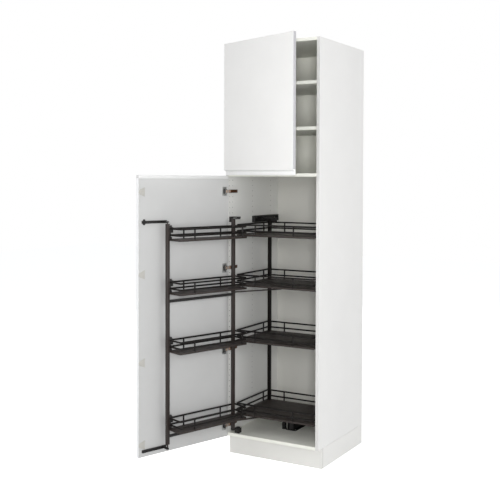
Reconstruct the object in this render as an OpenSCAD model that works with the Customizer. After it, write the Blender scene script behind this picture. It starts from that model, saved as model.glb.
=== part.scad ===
// Tall pantry cabinet with two hinged doors and a pull-out basket unit.
// The lower door swings a front basket frame out and draws a rear basket frame forward.
// Sizes are millimetres. Each module is drawn in cabinet coordinates: x from the left
// outer face, y from the front edge of the carcass backwards, z from the floor.
// place() then moves it, so that the origin lies on the floor at the middle of the
// front plinth board.

/* [Carcass] */
// Width over the side panels
cab_w = 609.6; // [600:0.1:640]
// Depth of the carcass without its doors
cab_d = 594; // [588:1:640]
// Height of the part of the carcass behind the lower door
lower_h = 1524; // [1500:1:1600]
// Height of the part of the carcass behind the upper door
upper_h = 762; // [700:1:820]
// Thickness of the carcass panels and shelves
panel_t = 18; // [16:0.5:20]
// Thickness of the back panels
back_t = 8; // [6:0.5:12]
// Distance from the back edge of the carcass to the back panels
back_recess = 4; // [2:0.5:10]
// Depth of the grooves that hold the back panels
groove_d = 6; // [4:0.5:8]
// Height of the middle panel's centre above the line between the doors
mid_rise = 3.25; // [2:0.25:5]

/* [Line boring] */
// Vertical distance between two holes
row_pitch = 31.75; // [30:0.05:34]
// Height of the first hole above the underside of the carcass
row_first = 35; // [30:0.5:38]
// Diameter of the holes
hole_d = 5; // [4.5:0.1:5.5]
// Depth of the holes
hole_deep = 12; // [10:0.5:13]
// Distance of the front column of holes from the front edge
column_1 = 14; // [12:0.5:18]
// Distance of the second column from the front edge
column_2 = 46; // [40:0.5:52]
// Distance of the third column from the front edge
column_3 = 270; // [220:1:320]
// Distance of the back column from the front edge
column_4 = 490; // [440:1:520]

/* [Shelves] */
// Number of rows between the middle panel and the first shelf, and between the shelves
shelf_rows = 8; // [6:1:9]
// Distance of the shelves from the front edge of the carcass
shelf_setback = 6; // [2:0.5:12]
// Clearance at each end of a shelf
shelf_clear = 0.8; // [0.3:0.1:2]
// How far a pin sinks into its notch under the shelf
notch_deep = 6.5; // [5.5:0.25:8]
// Length of a shelf pin inside the cabinet
pin_out = 10; // [8:0.5:14]

/* [Plinth and legs] */
// Height of the plinth space under the carcass
plinth_h = 114.3; // [100:0.1:140]
// Distance of the plinth front from the front edge of the carcass
plinth_setback = 47.5; // [40:0.5:60]
// Gap between the plinth boards and the carcass
plinth_gap = 1; // [0.5:0.1:2]
// Diameter of the leg tubes
leg_d = 38; // [32:0.5:44]
// Diameter of the feet
foot_d = 50; // [46:1:60]
// Diameter of the screw spindle of a foot
spindle_d = 24; // [16:0.5:26]
// Distance of the leg centres from the sides of the cabinet
leg_in = 62; // [58:1:80]
// Distance of the front legs from the plinth front board
leg_behind = 45; // [42:1:60]
// Distance of the back legs from the back edge of the carcass
leg_from_back = 74; // [60:1:100]

/* [Doors] */
// Thickness of the doors
door_t = 20; // [19:0.5:21]
// Gap between the doors and the carcass
door_gap = 3; // [2.8:0.1:3.5]
// Reveal along each outer edge of a door, half of it between the two doors
reveal = 1.5; // [1:0.1:2]
// Chamfer on the edges of the doors
edge_c = 1; // [0.5:0.1:1.5]
// Angle at which the upper door stands open
upper_open = 20.1; // [0:0.1:90]
// Angle at which the lower door stands open
lower_open = 109.2; // [105:0.1:110]
// Distance of the hinge axis from the left side of the cabinet
hinge_x = 10; // [9:0.1:11]
// Distance of the hinge axis in front of the carcass
hinge_front = 13.2; // [12.8:0.1:13.6]
// Height of the finger recess under the upper door
grip_h = 27.5; // [24:0.5:34]
// Depth of the finger recess
grip_d = 14.5; // [12:0.5:15]
// Height of the strip on top of the lower door
strip_h = 16; // [12:0.5:20]
// Radius of the rounded top edges of the strip
strip_r = 3; // [1:0.5:5]

/* [Hinges] */
// Row of the lower door's lowest hinge
hinge_row_low = 1; // [1:1:3]
// Rows between a door's highest hinge and the highest row behind that door
hinge_rows_above = 2; // [2:1:3]
// Rows between the middle panel and the upper door's lower hinge
hinge_rows_below = 3; // [3:1:5]
// Diameter of the hinge cups
cup_d = 35; // [34:0.5:36]
// Depth of the cup bores
cup_deep = 12; // [11:0.5:13]
// Distance of the cup centre from the edge of the door
cup_in = 22.5; // [21.5:0.1:24]
// Height of the flange round a cup
flange_h = 52; // [48:1:60]
// Width of the flange round a cup
flange_w = 31; // [28:1:34]
// Thickness of the flange
flange_t = 1.5; // [1:0.1:1.8]
// Height of a hinge arm
arm_h = 18; // [16:0.5:22]
// Distance from the front edge to the back end of a hinge arm
arm_end = 85; // [75:1:95]
// Width of a hinge arm, measured from its plate
arm_w = 8.5; // [7:0.5:10]
// Thickness of the plate under a hinge arm
plate_t = 4.5; // [3.5:0.5:6]
// Length of a hinge link from its pin
link_reach = 33; // [28:0.5:36]
// Thickness of a hinge link
hinge_link_t = 4; // [3:0.25:4.5]
// Width of a cover over an unused cup bore
cover_w = 38; // [36.5:0.5:40]
// Height of a cover over an unused cup bore
cover_h = 51; // [44:1:52]
// Thickness of a cover
cover_t = 2.2; // [1.5:0.1:2.5]

/* [Guide rails on the lower door] */
// Length of the rails ahead of the sliders while the door is open
guide_lead = 23.4; // [20:0.1:30]
// Length of the rails behind the sliders while the door is closed
guide_tail = 14; // [13:0.5:16]
// Height of the rail section
guide_h = 15; // [14:0.5:16]
// Depth of the rail section
guide_d = 10; // [9:0.5:12]
// Wall of the rail section
guide_t = 1.8; // [1.5:0.1:2]
// Height of the upper rail's centre above the floor
guide_top_z = 1384; // [1380:0.5:1388]
// Height of the lower rail's centre above the floor
guide_low_z = 147.5; // [146:0.5:148]
// Half length of a slider shoe
shoe_half = 12; // [8:0.5:13]
// Play between a slider and its rail
shoe_play = 0.35; // [0.3:0.05:0.6]

/* [Front frame] */
// Distance of the frame's pivot from the left side of the cabinet
pivot_x = 70; // [68:0.5:72]
// Distance of the frame's pivot behind the front edge
pivot_y = 28; // [27:0.5:30]
// Side of the square posts
post = 18; // [16:0.5:20]
// Reach of the swing arms along the closed door, from the pivot to the near post
arm_reach = 52; // [48:0.5:54]
// Distance of the posts behind the pivot in the closed cabinet
arm_back = 16.8; // [16:0.1:18]
// Gap between the far post and the right side panel in the closed cabinet
post_gap = 9.1; // [8:0.1:12]
// Height of the lower end of the near post
post_b_low = 174; // [172:0.5:178]
// Height of the upper end of the near post
post_b_top = 1385; // [1380:0.5:1385]
// Height of the lower end of the far post
post_a_low = 171; // [168:0.5:176]
// Height of the upper end of the far post
post_a_top = 1374; // [1368:0.5:1376]
// Height of the middle crossbar's underside
bar_mid_z = 944.5; // [940:0.5:948]
// Height of the bottom crossbar's underside
bar_low_z = 208; // [200:0.5:212]
// Height of the crossbars
bar_h = 15; // [12:0.5:18]
// Thickness of the crossbars
bar_t = 10; // [8:0.5:12]
// Thickness of the swing arms
swing_t = 5; // [4:0.5:6]
// Diameter of the pivot pins of the frame
pivot_d = 12; // [10:0.5:14]
// Radial clearance of every pin in its eye
pin_clear = 0.05; // [0.03:0.01:0.1]

/* [Rear frame] */
// Travel of the rear frame
travel = 130; // [126:1:134]
// Distance of the rear post from the left side of the cabinet
rear_post_x = 68; // [67:0.5:70]
// Distance of the rear post in front of the rear baskets' back wire
rear_post_in = 14.75; // [14.5:0.25:15.5]
// Width of the rear post
rear_post_w = 18; // [16:0.5:18]
// Depth of the rear post
rear_post_d = 20; // [18:0.5:20]
// Height of the upper end of the rear post
rear_post_top = 1369; // [1366:0.5:1372]
// Thickness of the base arm under the rear post
base_t = 10; // [8:0.5:12]
// Height of the base arm's underside
base_z = 203; // [200:0.5:204]
// Height of the slide rail on the side panel, lower edge
slide_z = 1355; // [1352:0.5:1358]
// Height of the slide rail section
slide_h = 39; // [36:0.5:42]
// Depth of the slide rail section
slide_d = 22; // [20:0.5:24]
// Wall of the slide rail section
slide_t = 3; // [2.5:0.25:3.5]
// Length of the carriage in the slide rail
carriage_l = 60; // [50:1:70]
// Length of the slide rail in front of the carriage
slide_ahead = 100; // [60:1:120]
// Distance of the floor runner from the left side of the cabinet
runner_x = 320; // [300:1:340]
// Width of the floor runner's base
runner_w = 66; // [60:1:80]
// Height of the floor runner
runner_h = 52; // [44:1:56]
// Width of the floor runner's channel
channel_w = 40; // [34:1:44]
// Length of the shoe in the floor runner
runner_shoe = 60; // [50:1:70]

/* [Links between the frames] */
// Length of a link between its eyes
link_l = 300; // [290:1:304]
// Angle between a link and the cabinet's depth while the door is open
link_a = 33.7; // [32:0.1:36]
// Width of a link
link_w = 16; // [12:0.5:17]
// Thickness of a link
link_t = 6; // [4:0.5:7]
// Diameter of the link pins
link_pin_d = 8; // [6:0.5:9]
// Place of a link's pin along the frame, from the near post
link_s = 9; // [7:0.5:9]
// Distance of a link's pin from the middle of the frame
link_n = 18; // [18:0.5:20]
// Height of the upper link's underside
link_top_z = 963.8; // [962:0.1:966]
// Height of the lower link's underside
link_low_z = 217.5; // [217:0.1:219]

/* [Baskets] */
// Diameter of the basket wires
wire_d = 8; // [6:0.25:8.25]
// Diameter of the uprights between wires and tray
upright_d = 7; // [5:0.25:7.5]
// Height of the top wire above the underside of the tray
wire_top = 66; // [60:1:72]
// Height of the lower wire above the underside of the tray
wire_mid = 31; // [26:1:36]
// Radius of the corners of the wires
wire_r = 10; // [8:0.5:10.5]
// Thickness of the trays
tray_t = 2; // [1.5:0.1:3]
// Height of the rim round a tray
tray_rim = 10; // [8:0.5:14]
// Heights of the top wires of the front baskets, lowest first
front_levels = [312, 739, 1056, 1347];
// Heights of the top wires of the rear baskets, lowest first
rear_levels = [300, 731, 1057, 1350];
// Overhang of the front baskets beyond the middle of the near post
front_over = 13.5; // [13.5:0.25:14.5]
// Gap between the front baskets' end wire and the middle of the far post
front_end = 13.5; // [12.5:0.25:15]
// Distance of the outer long wire from the middle of the frame, towards the door
front_far = 4; // [3:0.5:5]
// Distance of the inner long wire from the middle of the frame
front_near = 104; // [98:0.5:104]
// Distance of the rear baskets' left wire from the left side of the cabinet
rear_left = 51; // [50:0.5:51.5]
// Distance of the rear baskets' right wire from the right side of the cabinet
rear_right_gap = 49.6; // [43.6:0.1:69.6]
// Distance of the rear baskets' front wire behind the front edge
rear_front = 41; // [40:0.5:50]
// Distance of the rear baskets' back wire from the back edge of the carcass
rear_back_gap = 185; // [184:0.5:186]

/* [Fasteners] */
// Diameter of the fitting screws
screw_d = 4; // [3:0.25:4.5]
// Diameter of the screw heads
head_d = 8; // [7:0.25:8.5]
// Height of the screw heads
head_h = 2.2; // [1.8:0.1:2.4]
// Play of a screw or pin in its hole, on the radius
fit = 0.05; // [0.03:0.01:0.08]
// Depth of a fitting screw in its panel
screw_deep = 12; // [8:0.5:13]
// Gap between a wall plate and the side panel beside it
wall_gap = 6.8; // [4:0.1:20]
// Distance between the two wall-fixing holes of a plate
wall_pair = 32; // [28:1:40]
// Diameter of the wall-fixing holes
wall_hole = 8; // [6:0.5:9]
// Side of a square wall plate
wall_plate = 60; // [56:1:64]
// Thickness of a wall plate
wall_plate_t = 3; // [2:0.5:4]
// Distance of the wall plates' middle below the top panel
wall_below = 42; // [38:1:60]

/* [Hidden] */
$fn = 48;
eps = 0.01;
apart = 0.3;
white = "#edecea";
inside = "#c4c3be";
plinth_white = "#e0dfdb";
dark = "#3a3431";
black = "#252220";
steel = "#a9aaa9";
bronze = "#6d4a32";
beige = "#c9c2b2";

// Heights of the carcass
split_z = plinth_h + lower_h;
top_z = split_z + upper_h;
floor_z = plinth_h + panel_t;
mid_z = split_z + mid_rise;
inner_w = cab_w - 2 * panel_t;
inner_right = cab_w - panel_t;
back_y = cab_d - back_recess - back_t;
columns = [column_1, column_2, column_3, column_4];
function row_z(k) = plinth_h + row_first + row_pitch * k;
row_count = floor((top_z - panel_t - hole_d - plinth_h - row_first) / row_pitch);
mid_row = round((mid_z - row_z(0)) / row_pitch);
shelf_at = [mid_row + shelf_rows, mid_row + 2 * shelf_rows];
pin_r = hole_d / 2 - fit;

// Places of the doors and their hinges
door_w = cab_w - 2 * reveal;
door_in = -door_gap;
door_out = -door_gap - door_t;
lower_door_z = plinth_h + reveal;
lower_door_top = split_z - reveal;
upper_door_z = split_z + reveal;
upper_door_top = top_z - reveal;
grip_lip = 2.5;
end_step = 0.5;
grip_piece_h = grip_h + grip_lip;
lower_rows = floor((lower_h - row_first) / row_pitch) - hinge_rows_above - hinge_row_low;
lower_hinge_z = [for (i = [0 : 3]) row_z(hinge_row_low + round(lower_rows * i / 3))];
upper_hinge_z = [row_z(row_count - hinge_rows_above), row_z(mid_row + hinge_rows_below)];
all_hinge_z = concat(lower_hinge_z, upper_hinge_z);
plate_end = column_2 + hole_d + 8;
arm_x = panel_t + plate_t;
hinge_pin_x = arm_x + hinge_link_t / 2 + 1.5;
hinge_pin_y = 4.5;
hinge_pin_r = 1.5;
fork_t = 1.7;
link_turn = 14;

// Places of the two frames, drawn closed and then swung open
post_y = pivot_y + arm_back;
post_b_x = pivot_x + arm_reach;
post_a_x = inner_right - post_gap - post / 2;
post_span = post_a_x - post_b_x;
lower_arm_up = 28.2;
lower_arm_z = floor_z + lower_arm_up;
arm_play = 0.5;
link_q = [post_b_x + link_s, post_y + link_n];
link_end = [link_l * sin(link_a), link_l * cos(link_a)];
function turn(v, a) = [v[0] * cos(a) - v[1] * sin(a), v[0] * sin(a) + v[1] * cos(a)];
pivot = [pivot_x, pivot_y];
hinge_axis = [hinge_x, -hinge_front];
link_q_open = pivot + turn(link_q - pivot, -lower_open);
link_r_open = link_q_open + link_end;
post_a_open = pivot + turn([post_a_x, post_y] - pivot, -lower_open);
slider_at = hinge_axis + turn(post_a_open - hinge_axis, lower_open);
slider_x = slider_at[0];
slider_eye_y = slider_at[1];
guide_x0 = slider_x - guide_lead;
guide_x1 = post_a_x + guide_tail;
rear_right = cab_w - rear_right_gap;
rear_back = cab_d - rear_back_gap;
rear_post_y = rear_back - rear_post_in;
slide_from = rear_post_y - carriage_l / 2 - slide_ahead;
slide_to = rear_post_y + carriage_l / 2 + travel;
runner_y = 213;
runner_l = runner_shoe + travel + 20;
runner_shoe_y = runner_y + 10 + runner_shoe / 2;
tray_edge = wire_d / 2;

// Moves cabinet coordinates to the model's origin
module place() translate([-cab_w / 2, -plinth_setback - panel_t / 2, 0]) children();

// Turns closed pieces about a vertical axis
module swing(axis_xy, angle)
    translate([axis_xy[0], axis_xy[1], 0]) rotate(-angle)
        translate([-axis_xy[0], -axis_xy[1], 0]) children();

module on_upper_door() place() swing(hinge_axis, upper_open) children();
module on_lower_door() place() swing(hinge_axis, lower_open) children();
module on_front_frame() place() swing(pivot, lower_open) children();

// Box between two corners
module box(a, b) translate(a) cube(b - a);

// Cylinders along x, y and z from a point
module rod_x(p, r, l) translate(p) rotate([0, 90, 0]) cylinder(r = r, h = l);
module rod_y(p, r, l) translate(p) rotate([-90, 0, 0]) cylinder(r = r, h = l);
module rod_z(p, r, l) translate(p) cylinder(r = r, h = l);

// Box with chamfered edges, from three crossed profiles
module chamfer_profile(w, h, c)
    polygon([[c, 0], [w - c, 0], [w, c], [w, h - c], [w - c, h], [c, h], [0, h - c], [0, c]]);
module soft_box(a, b, c) {
    s = b - a;
    translate(a) intersection() {
        linear_extrude(s[2]) chamfer_profile(s[0], s[1], c);
        translate([0, s[1], 0]) rotate([90, 0, 0]) linear_extrude(s[1])
            chamfer_profile(s[0], s[2], c);
        rotate([90, 0, 90]) linear_extrude(s[0]) chamfer_profile(s[1], s[2], c);
    }
}

// Flat bar between two round eyes, each wider than the bar by the eye step on both sides
eye_step = 1;
module bar_plan(p, q, w) {
    d = q - p;
    n = w - 2 * eye_step;
    translate(p) {
        circle(d = w);
        rotate(atan2(d[1], d[0])) translate([0, -n / 2]) square([norm(d), n]);
        translate(d) circle(d = w);
    }
}
module bar(p, q, w, z, t) translate([0, 0, z]) linear_extrude(t) bar_plan(p, q, w);

// Line-bored side panel, holes on its inner face. Side 0 is left and side 1 is right
module side_panel(side) {
    x0 = side == 0 ? 0 : inner_right;
    face = side == 0 ? panel_t : inner_right;
    into = side == 0 ? -1 : 1;
    difference() {
        box([x0, 0, plinth_h], [x0 + panel_t, cab_d, top_z]);
        for (k = [0 : row_count], y = columns)
            if (abs(row_z(k) - mid_z) > panel_t / 2 + hole_d)
                rod_x([side == 0 ? face - hole_deep : face - eps, y, row_z(k)],
                    hole_d / 2, hole_deep + eps);
        box([side == 0 ? face - groove_d - fit : face - eps, back_y - fit, plinth_h - eps],
            [side == 0 ? face + eps : face + groove_d + fit, back_y + back_t + fit, top_z + eps]);
    }
}

module left_side_panel() color(white) place() difference() {
    side_panel(0);
    for (p = wall_screw_places())
        rod_x([panel_t - screw_deep - fit, p[0], p[1]], screw_d / 2 + fit, screw_deep + 1);
}

module right_side_panel() color(white) place() side_panel(1);

// Panels between the sides
module flat_panel(z) box([panel_t, 0, z], [inner_right, back_y, z + panel_t]);

module bottom_panel() color(inside) place() difference() {
    flat_panel(plinth_h);
    for (p = floor_screw_places())
        rod_z([p[0], p[1], floor_z - screw_deep - fit], screw_d / 2 + fit, screw_deep + 1);
}

module middle_panel() color(inside) place() flat_panel(mid_z - panel_t / 2);

module top_panel() color(white) place() flat_panel(top_z - panel_t);

// Back panels in the grooves of the sides
module back_panel(z0, z1)
    box([panel_t - groove_d, back_y, z0], [inner_right + groove_d, back_y + back_t, z1]);

module lower_back_panel() color(inside) place() back_panel(plinth_h, mid_z - apart);

module upper_back_panel() color(inside) place() difference() {
    back_panel(mid_z + apart, top_z);
    wall_holes(back_y - 1, back_t + 2);
}

// Shelf with a notch over each of its four pins
module shelf(k) {
    z = row_z(k) + hole_d / 2 - notch_deep;
    x0 = panel_t + shelf_clear;
    x1 = inner_right - shelf_clear;
    difference() {
        box([x0, shelf_setback, z], [x1, back_y - shelf_clear, z + panel_t]);
        for (y = [column_2, column_4]) {
            box([x0 - 1, y - hole_d, z - 1], [x0 + pin_out, y + hole_d, z + notch_deep]);
            box([x1 - pin_out, y - hole_d, z - 1], [x1 + 1, y + hole_d, z + notch_deep]);
        }
    }
}

module lower_shelf() color(white) place() shelf(shelf_at[0]);

module upper_shelf() color(white) place() shelf(shelf_at[1]);

// Shelf pin with a thin collar against the side panel
module shelf_pin() {
    rod_x([-hole_deep + 1, 0, 0], pin_r, hole_deep - 1 + pin_out);
    rod_x([0, 0, 0], hole_d / 2, pin_out);
    rod_x([0, 0, 0], hole_d / 2 + 1.2, shelf_clear);
}

module shelf_pins() color(steel) place()
    for (k = shelf_at, y = [column_2, column_4]) {
        translate([panel_t, y, row_z(k)]) shelf_pin();
        translate([inner_right, y, row_z(k)]) mirror([1, 0, 0]) shelf_pin();
    }

// Legs, one under each corner of the bottom panel
leg_front_y = plinth_setback + panel_t + leg_behind;
leg_places = [for (x = [leg_in, cab_w - leg_in], y = [leg_front_y, cab_d - leg_from_back]) [x, y]];
socket_flange = 5;
foot_h = 8;
leg_lift = 30;
spindle_top = plinth_h - 2 * socket_flange - 4;

module leg_socket() difference() {
    union() {
        rod_z([0, 0, plinth_h - socket_flange], leg_d / 2 + 16, socket_flange);
        rod_z([0, 0, leg_lift], leg_d / 2, plinth_h - leg_lift - socket_flange);
    }
    rod_z([0, 0, leg_lift - 1], spindle_d / 2 + fit, spindle_top + 2 - leg_lift);
}

module leg_foot() {
    rod_z([0, 0, 0], foot_d / 2, foot_h);
    rod_z([0, 0, foot_h - eps], spindle_d / 2, spindle_top - foot_h);
}

module leg_sockets() color(black) place()
    for (p = leg_places) translate([p[0], p[1], 0]) leg_socket();

module leg_feet() color(black) place()
    for (p = leg_places) translate([p[0], p[1], 0]) leg_foot();

// Plinth boards, the side boards behind the front board
plinth_top = plinth_h - plinth_gap;
plinth_back = plinth_setback + panel_t;

module plinth_front() color(plinth_white) place()
    box([0, plinth_setback, 0], [cab_w, plinth_back, plinth_top]);

module plinth_left() color(plinth_white) place()
    box([0, plinth_back + apart, 0], [panel_t, cab_d, plinth_top]);

module plinth_right() color(plinth_white) place()
    box([inner_right, plinth_back + apart, 0], [cab_w, cab_d, plinth_top]);

// Clip that grips a leg and reaches to the board at distance far along +x
clip_z = 52;
clip_h = 18;
clip_t = 4;

module plinth_clip(far) difference() {
    union() {
        rod_z([0, 0, clip_z], leg_d / 2 + fit + clip_t, clip_h);
        box([leg_d / 2, -clip_t, clip_z], [far, clip_t, clip_z + clip_h]);
        box([far - clip_t, -16, clip_z - 6], [far, 16, clip_z + clip_h + 6]);
    }
    rod_z([0, 0, clip_z - 8], leg_d / 2 + fit, clip_h + 16);
    box([-leg_d, -leg_d, clip_z - 8], [-leg_d / 6, leg_d, clip_z + clip_h + 8]);
}

module plinth_clips() color(black) place()
    for (p = leg_places)
        translate([p[0], p[1], 0])
            if (p[1] == leg_front_y)
                rotate(-90) plinth_clip(leg_behind);
            else
                rotate(p[0] == leg_in ? 180 : 0) plinth_clip(leg_in - panel_t);

// Wall plates in the top corners, with holes through the back panel
wall_z = top_z - panel_t - wall_below;
wall_in = panel_t + wall_gap + wall_plate / 2;
wall_x = [wall_in, cab_w - wall_in];

module wall_holes(y0, l)
    for (x = wall_x, s = [-1, 1])
        rod_y([x, y0, wall_z + s * wall_pair / 2], wall_hole / 2, l);

module wall_plates() color(steel) place() difference() {
    for (x = wall_x)
        box([x - wall_plate / 2, back_y - wall_plate_t, wall_z - wall_plate / 2],
            [x + wall_plate / 2, back_y, wall_z + wall_plate / 2]);
    wall_holes(back_y - wall_plate_t - 1, wall_plate_t + 2);
}

// Hinge plate, arm and screws on the left side panel, drawn at height zero
module hinge_plate() difference() {
    soft_box([panel_t, 6, -arm_h / 2], [arm_x, plate_end, arm_h / 2], 0.5);
    for (y = [column_1, column_2]) {
        rod_x([panel_t - 1, y, 0], hole_d / 2 + fit, plate_t + 2);
        rod_x([arm_x - head_h, y, 0], head_d / 2 + fit, head_h + 1);
    }
}

module hinge_arm() {
    soft_box([arm_x, 9, -arm_h / 2], [arm_x + arm_w, arm_end, arm_h / 2], 0.8);
    for (s = [-1, 1]) {
        z = s > 0 ? arm_h / 2 - fork_t : -arm_h / 2;
        box([arm_x, hinge_pin_y, z], [arm_x + arm_w - 1, 10, z + fork_t]);
        rod_z([hinge_pin_x, hinge_pin_y, z], 3.5, fork_t);
    }
    rod_z([hinge_pin_x, hinge_pin_y, -arm_h / 2], hinge_pin_r, arm_h);
}

module hinge_screw() {
    rod_x([0, 0, 0], pin_r, hole_deep - 1 + plate_t - head_h + eps);
    rod_x([hole_deep - 1 + plate_t - head_h, 0, 0], head_d / 2, head_h);
}

module hinge_plates() color(dark) place()
    for (z = all_hinge_z) translate([0, 0, z]) hinge_plate();

module hinge_arms() color(bronze) place()
    for (z = all_hinge_z) translate([0, 0, z]) hinge_arm();

module hinge_screws() color(steel) place()
    for (z = all_hinge_z, y = [column_1, column_2])
        translate([panel_t - hole_deep + 1, y, z]) hinge_screw();

// Hinge link, turned about its pin in the fork of the arm
module hinge_link() {
    h = arm_h / 2 - fork_t - apart;
    translate([hinge_pin_x, hinge_pin_y, 0]) rotate(link_turn) difference() {
        union() {
            rod_z([0, 0, -h], 3.2, 2 * h);
            box([0, -hinge_link_t / 2, -h], [link_reach, hinge_link_t / 2, h]);
            rod_z([link_reach, 0, -h], hinge_link_t / 2 + 0.4, 2 * h);
        }
        rod_z([0, 0, -h - 1], hinge_pin_r + pin_clear, 2 * h + 2);
    }
}

module hinge_links(angle, heights)
    for (z = heights)
        translate([0, 0, z]) swing([hinge_pin_x, hinge_pin_y], angle) hinge_link();

module upper_hinge_links() color(bronze) place() hinge_links(upper_open, upper_hinge_z);

module lower_hinge_links() color(bronze) place() hinge_links(lower_open, lower_hinge_z);

// Cup sunk in a door, with its flange and the knuckle in its mouth
cup_x = reveal + cup_in;
cup_wall = 2;

module hinge_cup() {
    r = cup_d / 2 - fit;
    difference() {
        union() {
            rod_y([cup_x, door_in - cup_deep + 0.5, 0], r, cup_deep - 0.5 + eps);
            soft_box([cup_x - flange_w / 2 + 6, door_in, -flange_h / 2],
                [cup_x + flange_w / 2 + 6, door_in + flange_t, flange_h / 2], 0.3);
        }
        rod_y([cup_x, door_in - cup_deep + 0.5 + cup_wall, 0], r - cup_wall, cup_deep + 5);
    }
    rod_z([cup_x + 3, door_in - 4.5, -cup_d / 2 + 1.5], 3.5, cup_d - 3);
}

module cup_bores(heights)
    for (z = heights, x = [cup_x, cab_w - cup_x])
        rod_y([x, door_in - cup_deep, z], cup_d / 2, cup_deep + 1);

module upper_hinge_cups() color(steel) on_upper_door()
    for (z = upper_hinge_z) translate([0, 0, z]) hinge_cup();

module lower_hinge_cups() color(steel) on_lower_door()
    for (z = lower_hinge_z) translate([0, 0, z]) hinge_cup();

// Cover with a short plug in the unused bore at the free edge
module bore_cover() {
    x = cab_w - cup_x;
    soft_box([x - cover_w / 2 + 1.4, door_in, -cover_h / 2],
        [x + cover_w / 2 + 1.4, door_in + cover_t, cover_h / 2], 0.5);
    rod_y([x, door_in - cup_deep / 2, 0], cup_d / 2 - fit, cup_deep / 2 + eps);
}

module upper_bore_covers() color(beige) on_upper_door()
    for (z = upper_hinge_z) translate([0, 0, z]) bore_cover();

module lower_bore_covers() color(beige) on_lower_door()
    for (z = lower_hinge_z) translate([0, 0, z]) bore_cover();

// Upper door: a panel above a grip profile with a hollowed finger recess
module upper_door_panel() color(white) on_upper_door() difference() {
    soft_box([reveal, door_out, upper_door_z + grip_piece_h],
        [reveal + door_w, door_in, upper_door_top], edge_c);
    cup_bores(upper_hinge_z);
}

module upper_door_grip() color(white) on_upper_door()
    translate([reveal + end_step, 0, upper_door_z])
        rotate([90, 0, 90]) linear_extrude(door_w - 2 * end_step)
        difference() {
            translate([door_out, 0]) square([door_t, grip_piece_h]);
            translate([door_out - 1, -1]) square([grip_d + 1, grip_h - grip_d + 1]);
            translate([door_out, grip_h - grip_d]) circle(r = grip_d);
        }

// Lower door: a panel under a strip with rounded top edges
module lower_door_panel() color(white) on_lower_door() difference() {
    soft_box([reveal, door_out, lower_door_z],
        [reveal + door_w, door_in, lower_door_top - strip_h], edge_c);
    cup_bores(lower_hinge_z);
}

module lower_door_strip() color(white) on_lower_door()
    translate([reveal + end_step, 0, lower_door_top - strip_h]) rotate([90, 0, 90])
        linear_extrude(door_w - 2 * end_step) {
            translate([door_out, 0]) square([door_t, strip_h - strip_r]);
            translate([door_out + strip_r, 0]) square([door_t - 2 * strip_r, strip_h]);
            for (y = [door_out + strip_r, door_in - strip_r])
                translate([y, strip_h - strip_r]) circle(r = strip_r);
        }

// Section of a guide rail, open towards the frame: x is depth, y is height
module guide_section() difference() {
    translate([0, -guide_h / 2]) square([guide_d, guide_h]);
    translate([guide_t, -guide_h / 2 + guide_t])
        square([guide_d - 2 * guide_t, guide_h - 2 * guide_t]);
    translate([guide_t, -guide_h / 4]) square([guide_d, guide_h / 2]);
}

module guide_rail(z, from)
    translate([from, door_in, z]) rotate([90, 0, 90]) linear_extrude(guide_x1 - from)
        guide_section();

guide_plate_w = 22;

module upper_guide_rail() color(dark) on_lower_door() {
    guide_rail(guide_top_z, guide_x0);
    x = guide_x1 - guide_plate_w - 4;
    difference() {
        soft_box([x, door_in, guide_top_z - guide_h],
            [x + guide_plate_w, door_in + guide_t, guide_top_z + guide_h], 0.3);
        for (s = [-1, 1])
            rod_y([x + guide_plate_w / 2, door_in - 1, guide_top_z + s * guide_h * 0.75],
                screw_d / 2, guide_t + 2);
    }
}

module lower_guide_rail() color(dark) on_lower_door() guide_rail(guide_low_z, guide_x0);

// Slider: a shoe in the rail and a neck with an eye in line with the far post
module slider(z) {
    inner = guide_h / 2 - guide_t - shoe_play;
    neck = guide_h / 4 - shoe_play;
    y0 = door_in + guide_t + shoe_play;
    y1 = door_in + guide_d - guide_t - shoe_play;
    difference() {
        union() {
            box([slider_x - shoe_half, y0, z - inner], [slider_x + shoe_half, y1, z + inner]);
            box([slider_x - 6, y0, z - neck], [slider_x + 6, slider_eye_y, z + neck]);
            rod_z([slider_x, slider_eye_y, z - neck], 8, 2 * neck);
        }
        rod_z([slider_x, slider_eye_y, z - neck - 1], link_pin_d / 2 + pin_clear, 2 * neck + 2);
    }
}

module upper_slider() color(black) on_lower_door() slider(guide_top_z);

module lower_slider() color(black) on_lower_door() slider(guide_low_z);

// Front frame posts
module post_at(x, z0, z1)
    soft_box([x - post / 2, post_y - post / 2, z0], [x + post / 2, post_y + post / 2, z1], 1.2);

slider_neck = guide_h / 4 - shoe_play;
post_pin_r = link_pin_d / 2;

// Pads on the far post that carry the end wires of the front baskets
pad_w = 10;
pad_h = 28;

module front_post_a() color(dark) on_front_frame() {
    post_at(post_a_x, post_a_low, post_a_top);
    for (top = front_levels)
        box([post_a_x - front_end + wire_d / 2 + 0.1, post_y - pad_w / 2, top + 4 - pad_h],
            [post_a_x - post / 2 + 1, post_y + pad_w / 2, top + 4]);
    rod_z([post_a_x, post_y, post_a_top - 1], post_pin_r,
        guide_top_z - slider_neck - post_a_top + 1 - 0.7);
    rod_z([post_a_x, post_y, guide_low_z + slider_neck + 0.7], post_pin_r,
        post_a_low - guide_low_z - slider_neck);
}

// Lug that carries the pin of a link, clear of the crossbars
lug_t = 4;
lug_r = 9;

module link_lug(z) {
    x0 = link_q[0] - lug_r;
    box([x0, post_y + bar_t / 2 + 1, z - apart - lug_t],
        [x0 + 2 * lug_r, link_q[1], z - apart]);
    rod_z([link_q[0], link_q[1], z - apart - lug_t], lug_r, lug_t);
    rod_z([link_q[0], link_q[1], z - apart - 1], link_pin_d / 2, link_t + apart + 3);
}

slot_w = 6;
slot_h = 12;
slot_pitch = 32;
slot_deep = 1.5;

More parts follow.
